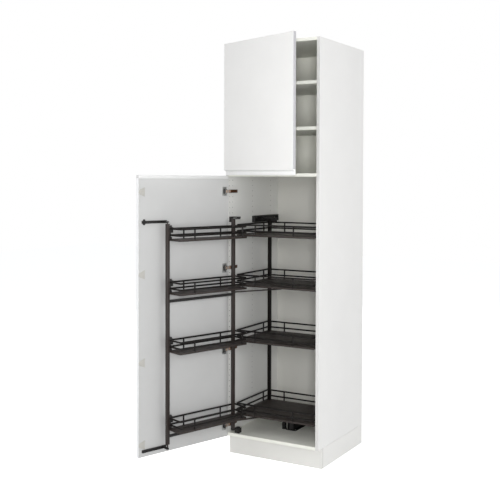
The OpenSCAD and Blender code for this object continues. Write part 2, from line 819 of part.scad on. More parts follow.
module front_post_b() color(dark) on_front_frame() {
    difference() {
        post_at(post_b_x, post_b_low, post_b_top);
        for (z = [post_b_low + slot_pitch : slot_pitch : post_b_top - slot_pitch])
            box([post_b_x + post / 2 - slot_deep, post_y - slot_w / 2, z],
                [post_b_x + post, post_y + slot_w / 2, z + slot_h]);
    }
    link_lug(link_top_z);
    link_lug(link_low_z);
}

module crossbar(z)
    soft_box([post_b_x + post / 2, post_y - bar_t / 2, z],
        [post_a_x - post / 2, post_y + bar_t / 2, z + bar_h], 0.8);

module middle_crossbar() color(dark) on_front_frame() crossbar(bar_mid_z);

module bottom_crossbar() color(dark) on_front_frame() crossbar(bar_low_z);

// Swing arms from the pivot to the near post
post_b = [post_b_x, post_y];
swing_w = post + 4;

module top_swing_arm() color(black) on_front_frame() difference() {
    bar(pivot, post_b, swing_w, post_b_top, swing_t);
    rod_z([pivot_x, pivot_y, post_b_top - 1], pivot_d / 2 + pin_clear, swing_t + 2);
}

module bottom_swing_arm() color(black) on_front_frame() difference() {
    union() {
        bar(pivot, post_b, swing_w, lower_arm_z, swing_t);
        box([post_b_x - post / 2, post_y - post / 2, lower_arm_z],
            [post_b_x + post / 2, post_y + post / 2, post_b_low]);
    }
    rod_z([pivot_x, pivot_y, lower_arm_z - 1], pivot_d / 2 + pin_clear, swing_t + 2);
}

// Brackets that hold the pivot pins
bracket_in = 14;
bracket_y0 = pivot_y - 20;
bracket_y1 = pivot_y + 20;
bracket_z = post_b_top + swing_t + 2;
bracket_t = 6;
bracket_drop = 26;
bracket_out = 26;
tongue_w = 26;
spacer_d = 20;

spacer_h = bracket_z - post_b_top - swing_t - apart;

module top_pivot_bracket() color(black) place() difference() {
    union() {
        translate([0, 0, bracket_z]) linear_extrude(bracket_t) {
            translate([panel_t, pivot_y - tongue_w / 2 + eye_step])
                square([pivot_x - panel_t, tongue_w - 2 * eye_step]);
            translate(pivot) circle(d = tongue_w);
        }
        box([panel_t, bracket_y0, bracket_z - bracket_drop],
            [panel_t + slide_t, bracket_y1, bracket_z + bracket_t]);
        box([panel_t, bracket_y0, bracket_z - bracket_drop],
            [panel_t + bracket_out, bracket_y0 + slide_t, bracket_z + bracket_t]);
        box([panel_t, bracket_y0, bracket_z],
            [panel_t + bracket_out, bracket_y1, bracket_z + bracket_t]);
        rod_z([pivot_x, pivot_y, bracket_z - spacer_h], spacer_d / 2, spacer_h + 1);
        rod_z([pivot_x, pivot_y, post_b_top - 1], pivot_d / 2, bracket_z - post_b_top + 2);
    }
    for (s = [-1, 1])
        rod_x([panel_t - 1, pivot_y + s * 12, bracket_screw_z], screw_d / 2 + fit, slide_t + 2);
}

bracket_screw_z = bracket_z - bracket_drop / 2;

module bottom_pivot_bracket() color(black) place() difference() {
    union() {
        box([pivot_x - bracket_in, pivot_y - 16, floor_z],
            [pivot_x + bracket_in, pivot_y + 16, lower_arm_z - arm_play]);
        rod_z([pivot_x, pivot_y, floor_z + 1], pivot_d / 2, lower_arm_z - floor_z + swing_t);
    }
    for (p = block_screws()) {
        rod_z([p[0], p[1], floor_z - 1], screw_d / 2 + fit, lower_arm_z - floor_z + 2);
        rod_z([p[0], p[1], lower_arm_z - arm_play - head_h - 0.3], head_d / 2 + fit, head_h + 2);
    }
}

// Places of the fitting screws
function block_screws() = [for (s = [-1, 1]) [pivot_x + s * 9.5, pivot_y + s * 11.5]];
function runner_screws() =
    [for (x = [-1, 1], y = [10, runner_l - 10])
        [runner_x + x * (runner_w / 2 - 6.5), runner_y + y]];
function floor_screw_places() = concat(block_screws(), runner_screws());
function rail_screws() =
    [for (y = [slide_from + 20, (slide_from + slide_to) / 2, slide_to - 20])
        [y, slide_z + slide_h / 2]];
function bracket_screws() = [for (s = [-1, 1]) [pivot_y + s * 12, bracket_screw_z]];
function wall_screw_places() = concat(rail_screws(), bracket_screws());

module fitting_screws() color(steel) place() {
    for (p = wall_screw_places()) {
        rod_x([panel_t - screw_deep, p[0], p[1]], screw_d / 2, screw_deep + slide_t + eps);
        rod_x([panel_t + slide_t, p[0], p[1]], head_d / 2, head_h);
    }
    for (p = runner_screws()) {
        rod_z([p[0], p[1], floor_z - screw_deep], screw_d / 2, screw_deep + runner_t + eps);
        rod_z([p[0], p[1], floor_z + runner_t], head_d / 2, head_h);
    }
    for (p = block_screws()) {
        top = lower_arm_z - arm_play - head_h - 0.3;
        rod_z([p[0], p[1], floor_z - screw_deep], screw_d / 2, top + eps - floor_z + screw_deep);
        rod_z([p[0], p[1], top], head_d / 2, head_h);
    }
}

// Slide rail on the left side panel, open towards the baskets and stopped at both ends
module slide_rail() color(black) place() difference() {
    box([panel_t, slide_from, slide_z], [panel_t + slide_d, slide_to, slide_z + slide_h]);
    box([panel_t + slide_t, slide_from + stop_t, slide_z + slide_t],
        [panel_t + slide_d - slide_t, slide_to - stop_t, slide_z + slide_h - slide_t]);
    box([panel_t + slide_t, slide_from + stop_t, slide_z + slide_h / 2 - slide_mouth / 2],
        [panel_t + slide_d + 1, slide_to - stop_t, slide_z + slide_h / 2 + slide_mouth / 2]);
    for (p = rail_screws())
        rod_x([panel_t - 1, p[0], p[1]], screw_d / 2 + fit, slide_t + 2);
}

slide_mouth = 23;
stop_t = 3;

// Carriage in the slide rail, with a plate over the rear post and a tab beside it
tab_l = 50;
tab_t = 4;

module top_carriage() color(black) place() {
    x0 = panel_t + slide_t + head_h + 1;
    x1 = panel_t + slide_d - slide_t - 0.5;
    y0 = rear_post_y - carriage_l / 2 - 5;
    z_mid = slide_z + slide_h / 2;
    post_x1 = rear_post_x + rear_post_w / 2;
    box([x0, y0, slide_z + slide_t + 0.5], [x1, y0 + carriage_l, slide_z + slide_h - slide_t - 0.5]);
    box([x1 - 1, rear_post_y - 16, rear_post_top], [post_x1 + tab_l - 9, rear_post_y + 10, z_mid + 5]);
    box([post_x1 + 0.5, rear_post_y - tab_t / 2, rear_post_top - 14],
        [post_x1 + tab_l - 9, rear_post_y + tab_t / 2, rear_post_top + 1]);
}

// Floor runner: a base plate under a channel that is open on top, with a round stop beside it
runner_t = 4;
knob_out = 19;
knob_back = 15;
knob_r = 12;
knob_h = 36;
channel_wall = 4;
channel_mouth = 16;

module floor_runner() color(black) place() difference() {
    union() {
        box([runner_x - runner_w / 2, runner_y, floor_z],
            [runner_x + runner_w / 2, runner_y + runner_l, floor_z + runner_t]);
        box([runner_x - channel_w / 2, runner_y, floor_z],
            [runner_x + channel_w / 2, runner_y + runner_l, floor_z + runner_h]);
        translate([runner_x - runner_w / 2 - knob_out, runner_y + knob_back, floor_z]) {
            cylinder(r = knob_r, h = knob_h);
            translate([0, -knob_r / 2, 0]) cube([knob_out + 1, knob_r, runner_t]);
        }
    }
    box([runner_x - channel_w / 2 + channel_wall, runner_y - 1, floor_z + runner_t],
        [runner_x + channel_w / 2 - channel_wall, runner_y + runner_l + 1,
            floor_z + runner_h - channel_wall]);
    box([runner_x - channel_mouth / 2, runner_y - 1, floor_z + runner_t],
        [runner_x + channel_mouth / 2, runner_y + runner_l + 1, floor_z + runner_h + 1]);
    for (p = runner_screws())
        rod_z([p[0], p[1], floor_z - 1], screw_d / 2 + fit, runner_t + 2);
}

// Rear post and the arms that it carries
rear_post_xy = [rear_post_x, rear_post_y];
shoe_xy = [runner_x, runner_shoe_y];

module rear_post() color(dark) place()
    soft_box([rear_post_x - rear_post_w / 2, rear_post_y - rear_post_d / 2, base_z + base_t],
        [rear_post_x + rear_post_w / 2, rear_post_y + rear_post_d / 2, rear_post_top], 1.2);

module base_arm() color(black) place() {
    bar(rear_post_xy, link_r_open, 20, base_z, base_t);
    bar(link_r_open, shoe_xy, 20, base_z, base_t);
    rod_z([link_r_open[0], link_r_open[1], base_z + 1], link_pin_d / 2,
        link_low_z - 0.7 - base_z - 1);
    box([runner_x - channel_mouth / 2 + 1, runner_shoe_y - 20, floor_z + runner_t + 2],
        [runner_x + channel_mouth / 2 - 1, runner_shoe_y + 20, base_z + 1]);
    box([runner_x - channel_w / 2 + channel_wall + 0.5, runner_shoe_y - runner_shoe / 2,
            floor_z + runner_t + 1],
        [runner_x + channel_w / 2 - channel_wall - 0.5, runner_shoe_y + runner_shoe / 2,
            floor_z + runner_h - channel_wall - 0.5]);
}

// Bracket above the upper link, with the pin of the link's far end
bracket_bar_z = link_top_z + link_t + 4.2;
bracket_bar_t = 8;

module link_bracket() color(black) place() difference() {
    union() {
        bar(rear_post_xy, link_r_open, 20, bracket_bar_z, bracket_bar_t);
        rod_z([link_r_open[0], link_r_open[1], link_top_z + link_t + 0.7], link_pin_d / 2,
            bracket_bar_z - link_top_z - link_t);
    }
    box([rear_post_x - 20, rear_post_y - rear_post_d / 2 - fit, bracket_bar_z - 1],
        [rear_post_x + rear_post_w / 2 + fit, rear_post_y + 20, bracket_bar_z + bracket_bar_t + 1]);
}

// Links from the front frame to the rear frame
module link(z) difference() {
    bar(link_q_open, link_r_open, link_w, z, link_t);
    for (p = [link_q_open, link_r_open])
        rod_z([p[0], p[1], z - 1], link_pin_d / 2 + pin_clear, link_t + 2);
}

module upper_link() color(dark) place() link(link_top_z);

module lower_link() color(dark) place() link(link_low_z);

// Closed wire with round corners, in the plane z
module wire_ring(x0, y0, x1, y1, z) {
    r = wire_d / 2;
    w = x1 - x0 - 2 * wire_r;
    d = y1 - y0 - 2 * wire_r;
    for (y = [y0, y1]) rod_x([x0 + wire_r, y, z], r, w);
    for (x = [x0, x1]) rod_y([x, y0 + wire_r, z], r, d);
    for (c = [[x1 - wire_r, y1 - wire_r, 0], [x0 + wire_r, y1 - wire_r, 90],
            [x0 + wire_r, y0 + wire_r, 180], [x1 - wire_r, y0 + wire_r, 270]])
        translate([c[0], c[1], z]) rotate(c[2])
            rotate_extrude(angle = 90) translate([wire_r, 0]) circle(r = r);
}

// Tray with an upright rim and cut corners, from its underside at z
module tray_plan(x0, y0, x1, y1, c)
    translate([x0, y0]) chamfer_profile(x1 - x0, y1 - y0, c);

module tray(x0, y0, x1, y1, z) difference() {
    translate([0, 0, z]) linear_extrude(tray_rim)
        tray_plan(x0 - tray_edge, y0 - tray_edge, x1 + tray_edge, y1 + tray_edge, wire_r / 2);
    translate([0, 0, z + tray_t]) linear_extrude(tray_rim)
        tray_plan(x0 - tray_edge + tray_t, y0 - tray_edge + tray_t,
            x1 + tray_edge - tray_t, y1 + tray_edge - tray_t, wire_r / 2 - 0.6);
}

// Basket of two wires, uprights and a tray; top is the height of its top wire
module basket(x0, y0, x1, y1, top, uprights) {
    z0 = top - wire_top;
    wire_ring(x0, y0, x1, y1, top);
    wire_ring(x0, y0, x1, y1, z0 + wire_mid);
    tray(x0, y0, x1, y1, z0);
    for (p = uprights)
        rod_z([p[0], p[1], z0 + tray_t / 2], upright_d / 2, wire_top - tray_t / 2);
}

// Front basket number i, hung between the posts and notched round the near one. Its
// uprights stand at shares of the distance between the posts
front_uprights_far = [0.1971, 0.7597];
front_uprights_near = [0.0332, 0.7641];

module front_basket(i) on_front_frame() {
    top = front_levels[i];
    x0 = post_b_x - front_over;
    x1 = post_a_x - front_end;
    y0 = post_y - front_far;
    y1 = post_y + front_near;
    difference() {
        basket(x0, y0, x1, y1, top, concat(
            [for (s = front_uprights_far) [post_b_x + s * post_span, y0]],
            [for (s = front_uprights_near) [post_b_x + s * post_span, y1]]));
        box([post_b_x - post / 2 - apart, post_y - post / 2 - apart, top - wire_top - 1],
            [post_b_x + post / 2 + apart, post_y + post / 2 + apart, top + wire_d]);
    }
}

module front_basket_1() color(dark) front_basket(0);
module front_basket_2() color(dark) front_basket(1);
module front_basket_3() color(dark) front_basket(2);
module front_basket_4() color(dark) front_basket(3);

// Rear basket number i, notched round the rear post. Its uprights stand at shares of its
// width and depth
rear_uprights_front = [0.2456, 0.7387];
rear_uprights_back = [0.2259, 0.7387];
rear_upright_left = 0.8397;

module rear_basket(i) place() {
    top = rear_levels[i];
    rear_w = rear_right - rear_left;
    difference() {
        basket(rear_left, rear_front, rear_right, rear_back, top, concat(
            [for (s = rear_uprights_front) [rear_left + s * rear_w, rear_front]],
            [for (s = rear_uprights_back) [rear_left + s * rear_w, rear_back]],
            [[rear_left, rear_front + rear_upright_left * (rear_back - rear_front)]]));
        box([rear_post_x - rear_post_w / 2 - apart, rear_post_y - rear_post_d / 2 - apart,
                top - wire_top - 1],
            [rear_post_x + rear_post_w / 2 + apart, rear_post_y + rear_post_d / 2 + apart,
                top + wire_d]);
    }
    // Hook that joins the back wires to the rear post
    box([rear_post_x - 4, rear_post_y + rear_post_d / 2, top - wire_top + wire_mid + wire_d],
        [rear_post_x + 8, rear_back - 1, top + 1]);
}

module rear_basket_1() color(dark) rear_basket(0);
module rear_basket_2() color(dark) rear_basket(1);
module rear_basket_3() color(dark) rear_basket(2);
module rear_basket_4() color(dark) rear_basket(3);

left_side_panel();
right_side_panel();
bottom_panel();
middle_panel();
top_panel();
lower_back_panel();
upper_back_panel();
lower_shelf();
upper_shelf();
shelf_pins();
leg_sockets();
leg_feet();
plinth_front();
plinth_left();
plinth_right();
plinth_clips();
wall_plates();
hinge_plates();
hinge_arms();
hinge_screws();
slide_rail();
top_pivot_bracket();
bottom_pivot_bracket();
floor_runner();
fitting_screws();
upper_door_panel();
upper_door_grip();
upper_hinge_cups();
upper_bore_covers();
upper_hinge_links();
lower_door_panel();
lower_door_strip();
lower_hinge_cups();
lower_bore_covers();
lower_hinge_links();
upper_guide_rail();
lower_guide_rail();
upper_slider();
lower_slider();
front_post_a();
front_post_b();
middle_crossbar();
bottom_crossbar();
top_swing_arm();
bottom_swing_arm();
front_basket_1();
front_basket_2();
front_basket_3();
front_basket_4();
rear_post();
top_carriage();
base_arm();
link_bracket();
rear_basket_1();
rear_basket_2();
rear_basket_3();
rear_basket_4();
upper_link();
lower_link();
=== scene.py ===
"""Dresses a tall pantry cabinet, its two doors and its pull-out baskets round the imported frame.

Lengths in the classes are millimetres in the closed cabinet: x from the left outer face, y from
the carcass front backwards and z from the floor. A Mount turns them into the frame's metres. Only
the studio is measured in the frame's metres.
"""
from __future__ import annotations

import logging
import math
from dataclasses import dataclass, replace
from enum import Enum
from typing import Sequence

import bmesh
import bpy
from mathutils import Matrix, Vector


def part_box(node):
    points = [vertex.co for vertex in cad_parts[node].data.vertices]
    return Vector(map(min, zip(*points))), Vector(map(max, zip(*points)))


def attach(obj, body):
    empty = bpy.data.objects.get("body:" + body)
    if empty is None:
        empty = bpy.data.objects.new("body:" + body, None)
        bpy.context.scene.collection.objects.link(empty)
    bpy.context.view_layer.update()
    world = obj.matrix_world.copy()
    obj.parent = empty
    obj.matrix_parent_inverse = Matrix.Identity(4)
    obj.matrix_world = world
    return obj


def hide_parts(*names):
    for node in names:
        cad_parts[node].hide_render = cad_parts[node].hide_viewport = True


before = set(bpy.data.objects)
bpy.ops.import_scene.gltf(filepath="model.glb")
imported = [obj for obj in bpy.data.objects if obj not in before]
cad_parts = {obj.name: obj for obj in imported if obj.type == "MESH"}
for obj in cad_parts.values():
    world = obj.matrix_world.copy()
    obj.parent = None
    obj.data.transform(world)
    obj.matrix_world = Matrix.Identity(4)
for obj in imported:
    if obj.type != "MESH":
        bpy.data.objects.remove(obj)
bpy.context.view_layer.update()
LOG = logging.getLogger("pantry")

# A millimetre and the distance at which points are merged, in the frame's metres.
MM = 0.001
MERGE = 1e-6
# The carcass, its rows of holes and the doors' faces, in millimetres.
CAB_W = 609.6
FRONT_Y = 56.5
PLINTH_H = 114.3
SPLIT_Z = 1638.3
TOP_Z = 2400.3
PANEL = 18.0
ROW_PITCH = 31.75
ROW_FIRST = 149.3
REVEAL = 1.5
DOOR_X = (REVEAL, CAB_W - REVEAL)
DOOR_IN = -3.0
DOOR_OUT = -23.0
# The vertical axes as x and y, and the degrees that the doors stand open at rest.
HINGE_AXIS = (10.0, -13.2)
HINGE_PIN = (26.0, 4.5)
FRAME_PIVOT = (70.0, 28.0)
UPPER_OPEN = 20.1
LOWER_OPEN = 109.2
# The bores for the hinge cups, near both edges of each door.
CUP_X = 24.0
BORE_R = 17.5
BORE_DEEP = 12.0
BORE_SIDES = 48
# Steps in a quarter of a wire's round, and the angle past which a node's edge is rounded.
WIRE_STEPS = 3
SHARP = 40.0

Pair = tuple[float, float]
Triple = tuple[float, float, float]
Inputs = dict[str | int, object]
Node = bpy.types.Node
Tree = bpy.types.NodeTree
Socket = bpy.types.NodeSocket
Solid = bpy.types.Object


class Slot(Enum):
    """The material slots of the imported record."""

    WHITE_BOARD = "white_board"
    PLINTH_BOARD = "plinth_board"
    WHITE_STRIP = "white_strip"
    DARK_COAT = "dark_coat"
    BLACK_COAT = "black_coat"
    BRONZE_COAT = "bronze_coat"
    HINGE_STEEL = "hinge_steel"
    SCREW_STEEL = "screw_steel"
    BLACK_PLASTIC = "black_plastic"
    BEIGE_COVER = "beige_cover"


class Axis(Enum):
    """The axis along which a profile is drawn out, with the order of its two outline values."""

    X = (1, 2, 0)
    Y = (0, 2, 1)
    Z = (0, 1, 2)

    def place(self, a: float, b: float, along: float) -> Triple:
        """Returns the point whose outline values are a and b at the distance along the axis."""
        by_axis = dict(zip(self.value, (a, b, along)))
        return by_axis[0], by_axis[1], by_axis[2]


def metres(p: Sequence[float]) -> Vector:
    """Returns a point in millimetres as a vector in metres."""
    return Vector((p[0], p[1], p[2])) * MM


def row_z(row: float) -> float:
    """Returns the height of a row of holes above the floor."""
    return ROW_FIRST + ROW_PITCH * row


LOWER_HINGES = tuple(row_z(k) for k in (1, 15, 30, 44))
UPPER_HINGES = tuple(row_z(k) for k in (50, 68))


def arc(centre: Pair, radius: float, start: float, end: float, steps: int) -> list[Pair]:
    """Returns points on an arc.

    Args:
        centre: its centre.
        radius: its radius.
        start: its first angle in degrees.
        end: its last angle in degrees.
        steps: number of chords.

    Returns:
        The points from the first to the last angle.
    """
    points = []
    for i in range(steps + 1):
        a = math.radians(start + (end - start) * i / steps)
        points.append((centre[0] + radius * math.cos(a), centre[1] + radius * math.sin(a)))
    return points


def rounded(low: Pair, high: Pair, radius: float, steps: int = 6) -> list[Pair]:
    """Returns the outline of a rectangle with round corners.

    Args:
        low: its lowest corner.
        high: its highest corner.
        radius: radius of the corners.
        steps: number of chords in each corner.

    Returns:
        The outline, against the clock.
    """
    a, b = (low[0] + radius, low[1] + radius), (high[0] - radius, high[1] - radius)
    corners = ((b[0], b[1], 0), (a[0], b[1], 90), (a[0], a[1], 180), (b[0], a[1], 270))
    outline: list[Pair] = []
    for x, y, start in corners:
        outline += arc((x, y), radius, start, start + 90, steps)
    return outline


def pin_side(radius: float, length: float, across: float, along: float) -> list[Pair]:
    """Returns the half outline of a pin with chamfered ends, for the lathe.

    Args:
        radius: its radius.
        length: its length.
        across: what a chamfer takes off the radius.
        along: what a chamfer takes off the length.

    Returns:
        The points as radius and distance along the pin.
    """
    low = [(0.0, 0.0), (radius - across, 0.0), (radius, along)]
    return low + [(r, length - z) for r, z in reversed(low)]


def paint(code: str) -> tuple[float, ...]:
    """Turns a colour as it shows on screen into the renderer's own scale.

    Args:
        code: six hexadecimal digits, two each for red, green and blue.

    Returns:
        Red, green, blue and opacity from 0 to 1.
    """
    out = []
    for i in (0, 2, 4):
        c = int(code[i:i + 2], 16) / 255
        out.append(c / 12.92 if c <= 0.04045 else ((c + 0.055) / 1.055) ** 2.4)
    return *out, 1.0


def fill(node: Node, inputs: Inputs) -> Node:
    """Sets a node's inputs, or links them where a socket is given.

    Args:
        node: the node.
        inputs: a value or another node's socket, by the input's name or number.

    Returns:
        The same node.
    """
    for name, value in inputs.items():
        if isinstance(value, Socket):
            node.id_data.links.new(value, node.inputs[name])
        else:
            node.inputs[name].default_value = value
    return node


def add_node(tree: Tree, kind: str, inputs: Inputs, **choices: str) -> Node:
    """Adds a shader node.

    Args:
        tree: the nodes that it joins.
        kind: its type, without the ShaderNode in front.
        inputs: the values and sockets of its inputs.
        choices: its own settings, such as its operation.

    Returns:
        The node.
    """
    node = tree.nodes.new(f"ShaderNode{kind}")
    for name, choice in choices.items():
        setattr(node, name, choice)
    return fill(node, inputs)


def combine(tree: Tree, operation: str, one: object, two: object) -> Socket:
    """Returns the outcome of an operation on two values or sockets."""
    return add_node(tree, "Math", {0: one, 1: two}, operation=operation).outputs["Value"]


def spread(tree: Tree, value: Socket, read: Pair, given: Pair = (0.0, 1.0)) -> Socket:
    """Stretches a value from one range to another.

    Args:
        tree: the nodes that it joins.
        value: the socket that is read.
        read: the two ends of what is read.
        given: the values given at those ends.

    Returns:
        The socket with the new value.
    """
    ends = dict(zip(("From Min", "From Max", "To Min", "To Max"), (*read, *given)))
    return add_node(tree, "MapRange", {"Value": value, **ends}).outputs["Result"]


def new_shading(block: bpy.types.ID) -> Tree:
    """Returns the nodes of a new material or world."""
    block.use_nodes = True
    return block.node_tree


@dataclass(frozen=True)
class Mount:
    """A moving body and the way its closed pieces stand at rest.

    Args:
        body: name of the body in the frame.
        axis: place of the vertical axis that the body has turned about.
        angle: degrees that it has turned, clockwise from above.
    """

    body: str
    axis: Pair = (0.0, 0.0)
    angle: float = 0.0

    def matrix(self) -> Matrix:
        """Works out where the body's closed pieces stand at rest.

        Returns:
            The placement from closed cabinet metres to the frame.
        """
        pin = Matrix.Translation(metres((*self.axis, 0.0)))
        turn = pin @ Matrix.Rotation(-math.radians(self.angle), 4, "Z") @ pin.inverted()
        return Matrix.Translation(metres((-CAB_W / 2, -FRONT_Y, 0.0))) @ turn


CABINET = Mount("cabinet")
UPPER_DOOR = Mount("upper_door", HINGE_AXIS, UPPER_OPEN)
LOWER_DOOR = Mount("lower_door", HINGE_AXIS, LOWER_OPEN)
UPPER_LINKS = Mount("upper_hinge_link_set", HINGE_PIN, UPPER_OPEN)
LOWER_LINKS = Mount("lower_hinge_link_set", HINGE_PIN, LOWER_OPEN)
SLIDERS = Mount("door_sliders", HINGE_AXIS, LOWER_OPEN)
FRONT_FRAME = Mount("front_frame", FRAME_PIVOT, LOWER_OPEN)
REAR_FRAME = Mount("rear_frame")


@dataclass(frozen=True)
class Finish:
    """A procedural surface: its colour, its gloss and its fine relief.

    Args:
        name: name of the material.
        slot: the record's slot that it belongs to; not used.
        colour: colour on screen, as six hexadecimal digits.
        deep: the darker colour that it is mottled with.
        mottle: size of the colour patches, as repeats in a metre.
        rough: lowest and highest roughness.
        metal: 1 for bare metal and 0 for a coat.
        grain: repeats of the relief in a metre.
        relief: height of the relief in millimetres.
        stretch: how much longer the grain is along x, y and z.
        coat: strength of the clear layer on top.
        shine: strength of the reflections of a coat.
        patch_layers: number and weight of the finer layers in the patches.
        grain_layers: number and weight of the finer layers in the grain.
        colour_band: part of the patches' values over which the colour changes.
        gloss_band: part of the patches' values over which the roughness changes.
        bump: strength of the relief.
        coat_rough: roughness of the clear layer.
    """

    name: str
    slot: Slot
    colour: str
    deep: str
    mottle: float
    rough: Pair
    metal: float = 0.0
    grain: float = 900.0
    relief: float = 0.02
    stretch: Triple = (1.0, 1.0, 1.0)
    coat: float = 0.0
    shine: float = 0.5
    patch_layers: Pair = (5.0, 0.6)
    grain_layers: Pair = (3.0, 0.55)
    colour_band: Pair = (0.35, 0.65)
    gloss_band: Pair = (0.3, 0.7)
    bump: float = 0.6
    coat_rough: float = 0.25

    def material(self) -> bpy.types.Material:
        """Returns the material, made on the first call and found by its name afterwards."""
        return bpy.data.materials.get(self.name) or self.make()

    def make(self) -> bpy.types.Material:
        """Makes the material: mottled colour and gloss over a fine relief.

        Returns:
            The new material.
        """
        mat = bpy.data.materials.new(self.name)
        tree = new_shading(mat)
        place = add_node(tree, "TexCoord", {}).outputs["Object"]
        scale = add_node(tree, "Mapping",
                         {"Vector": place, "Scale": [1.0 / s for s in self.stretch]})
        patches, grain = (
            add_node(tree, "TexNoise", {"Vector": scale.outputs["Vector"], "Scale": repeats,
                                        "Detail": detail, "Roughness": weight}).outputs["Fac"]
            for repeats, (detail, weight) in ((self.mottle, self.patch_layers),
                                              (self.grain, self.grain_layers)))
        mix = add_node(tree, "Mix", {
            "A": paint(self.deep), "B": paint(self.colour),
            "Factor": spread(tree, patches, self.colour_band)}, data_type="RGBA")
        bump = add_node(tree, "Bump", {
            "Strength": self.bump, "Distance": self.relief * MM, "Height": grain})
        fill(tree.nodes["Principled BSDF"], {
            "Base Color": mix.outputs["Result"], "Metallic": self.metal,
            "Roughness": spread(tree, patches, self.gloss_band, self.rough),
            "Specular IOR Level": self.shine, "Coat Weight": self.coat,
            "Coat Roughness": self.coat_rough, "Normal": bump.outputs["Normal"]})
        return mat


@dataclass(frozen=True)
class BoredFinish(Finish):
    """A coated board: painted shade in its bores and on its inner face, and its front edge in
    another grey.

    Args:
        low: lowest corner of the board, in metres.
        high: highest corner of the board.
        bore_shade: dark colour painted in the bores as their shade.
        inner: painted shade on the face that looks into the cabinet.
        front: colour of the front edge.
        skin: depth at which a face ends and its bores start, in millimetres.
        step: depth over which one colour gives way to the next.
    """

    low: Triple = (0.0, 0.0, 0.0)
    high: Triple = (0.0, 0.0, 0.0)
    # Painted shade: a dark colour in the bores and a grey on the face towards the cabinet.
    bore_shade: str = "352B24"
    inner: str = "DEDEDB"
    front: str = "D5D4D2"
    skin: float = 0.4
    step: float = 0.2

    def of_node(self, node: str) -> BoredFinish:
        """Returns this finish for one board, with its corners and a name of its own."""
        low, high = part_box(node)
        return replace(self, name=f"{self.name}_{node}", low=tuple(low), high=tuple(high))

    def make(self) -> bpy.types.Material:
        """Makes the material, with three more colours laid over the coat by place.

        Returns:
            The new material.
        """
        mat = super().make()
        tree = mat.node_tree
        place = add_node(tree, "TexCoord", {}).outputs["Object"]
        parts = add_node(tree, "SeparateXYZ", {"Vector": place}).outputs
        skin, step = self.skin * MM, self.step * MM
        inside: object = 1.0
        for axis, low, high in zip("XYZ", self.low, self.high):
            near = spread(tree, parts[axis], (low + skin, low + skin + step))
            far = spread(tree, parts[axis], (high - skin - step, high - skin), (1.0, 0.0))
            for value in (near, far):
                inside = combine(tree, "MULTIPLY", inside, value)
        on_left = self.low[0] < 0
        face = ((self.high[0] - skin, self.high[0] - step) if on_left
                else (self.low[0] + skin, self.low[0] + step))
        facing = spread(tree, parts["X"], face)
        ahead = spread(tree, parts["Y"], (self.low[1] + skin, self.low[1] + step))
        base = tree.nodes["Principled BSDF"].inputs["Base Color"]
        # Lays painted shade on the inner face and in the bores, and the front colour on the face
        # at the lowest y.
        for colour, share in ((self.inner, facing), (self.front, ahead), (self.bore_shade, inside)):
            mix = add_node(tree, "Mix", {"A": base.links[0].from_socket, "B": paint(colour),
                                         "Factor": share}, data_type="RGBA")
            tree.links.new(mix.outputs["Result"], base)
        return mat


WHITE_COAT = Finish("white_coated_board", Slot.WHITE_BOARD, "F0EFED", "EEEDEB", 6.0,
                    (0.42, 0.5), grain=1400.0, relief=0.03, coat=0.05)
BORED_COAT = BoredFinish("white_bored_board", Slot.WHITE_BOARD, "F0EFED", "EEEDEB", 6.0,
                         (0.42, 0.5), grain=1400.0, relief=0.03, coat=0.05)
# Painted light on the doors' free edges: a grey of painted shade for the upper door, a near white
# painted highlight for the lower door.
SHADED_DOOR_EDGE = Finish("painted_shade_door_edge", Slot.WHITE_BOARD, "BCBCBF", "BABABD", 6.0,
                   (0.45, 0.52), grain=1400.0, relief=0.03)
LIT_EDGE = replace(SHADED_DOOR_EDGE, name="painted_highlight_door_edge", colour="FBFBFC", deep="F9F9FA")
# Painted shade: the doors' back faces in a grey copy of the white board.
SHADED_DOOR_BACK = replace(SHADED_DOOR_EDGE, name="painted_shade_door_back", colour="C1C1C0", deep="BEBEBD")
INSIDE_COAT = Finish("white_coated_board_inside", Slot.WHITE_BOARD, "F1F1E8", "EFEFE6", 6.0,
                     (0.48, 0.56), grain=1400.0, relief=0.03)
# The lower back board's front colour covers its whole face towards the cabinet: a grey of painted
# shade on the deep back wall.
SHADED_LOWER_BACK = BoredFinish("white_back_board", Slot.WHITE_BOARD, "F1F1E8", "EFEFE6", 6.0,
                         (0.48, 0.56), grain=1400.0, relief=0.03, bore_shade="F1F1E8",
                         inner="F1F1E8", front="CDCCC6")
PLINTH_COAT = Finish("white_coated_plinth", Slot.PLINTH_BOARD, "EFEEEB", "EDECE9", 7.0,
                     (0.45, 0.55), grain=1300.0, relief=0.03)
# Painted shade: the recessed front plinth in a darker copy of the plinth coat.
SHADED_PLINTH_FACE = replace(PLINTH_COAT, name="shaded_white_plinth", colour="E1E0DC", deep="DFDEDA")
STRIP_COAT = Finish("white_edge_profile", Slot.WHITE_STRIP, "F1F1F0", "ECECEA", 8.0,
                    (0.3, 0.38), grain=800.0, relief=0.012, coat=0.12)
# Painted shade: the lower door's top strip in a grey copy of the white profile.
SHADED_TOP_STRIP = replace(STRIP_COAT, name="painted_shade_top_strip", colour="DBDBDA", deep="D8D8D7")
DARK_POWDER = Finish("dark_powder_coat", Slot.DARK_COAT, "2A211D", "221A17", 40.0,
                     (0.44, 0.54), grain=1600.0, relief=0.05)
WIRE_POWDER = Finish("dark_wire_coat", Slot.DARK_COAT, "14100E", "0F0D0B", 40.0,
                     (0.4, 0.5), grain=1600.0, relief=0.05, shine=0.25)
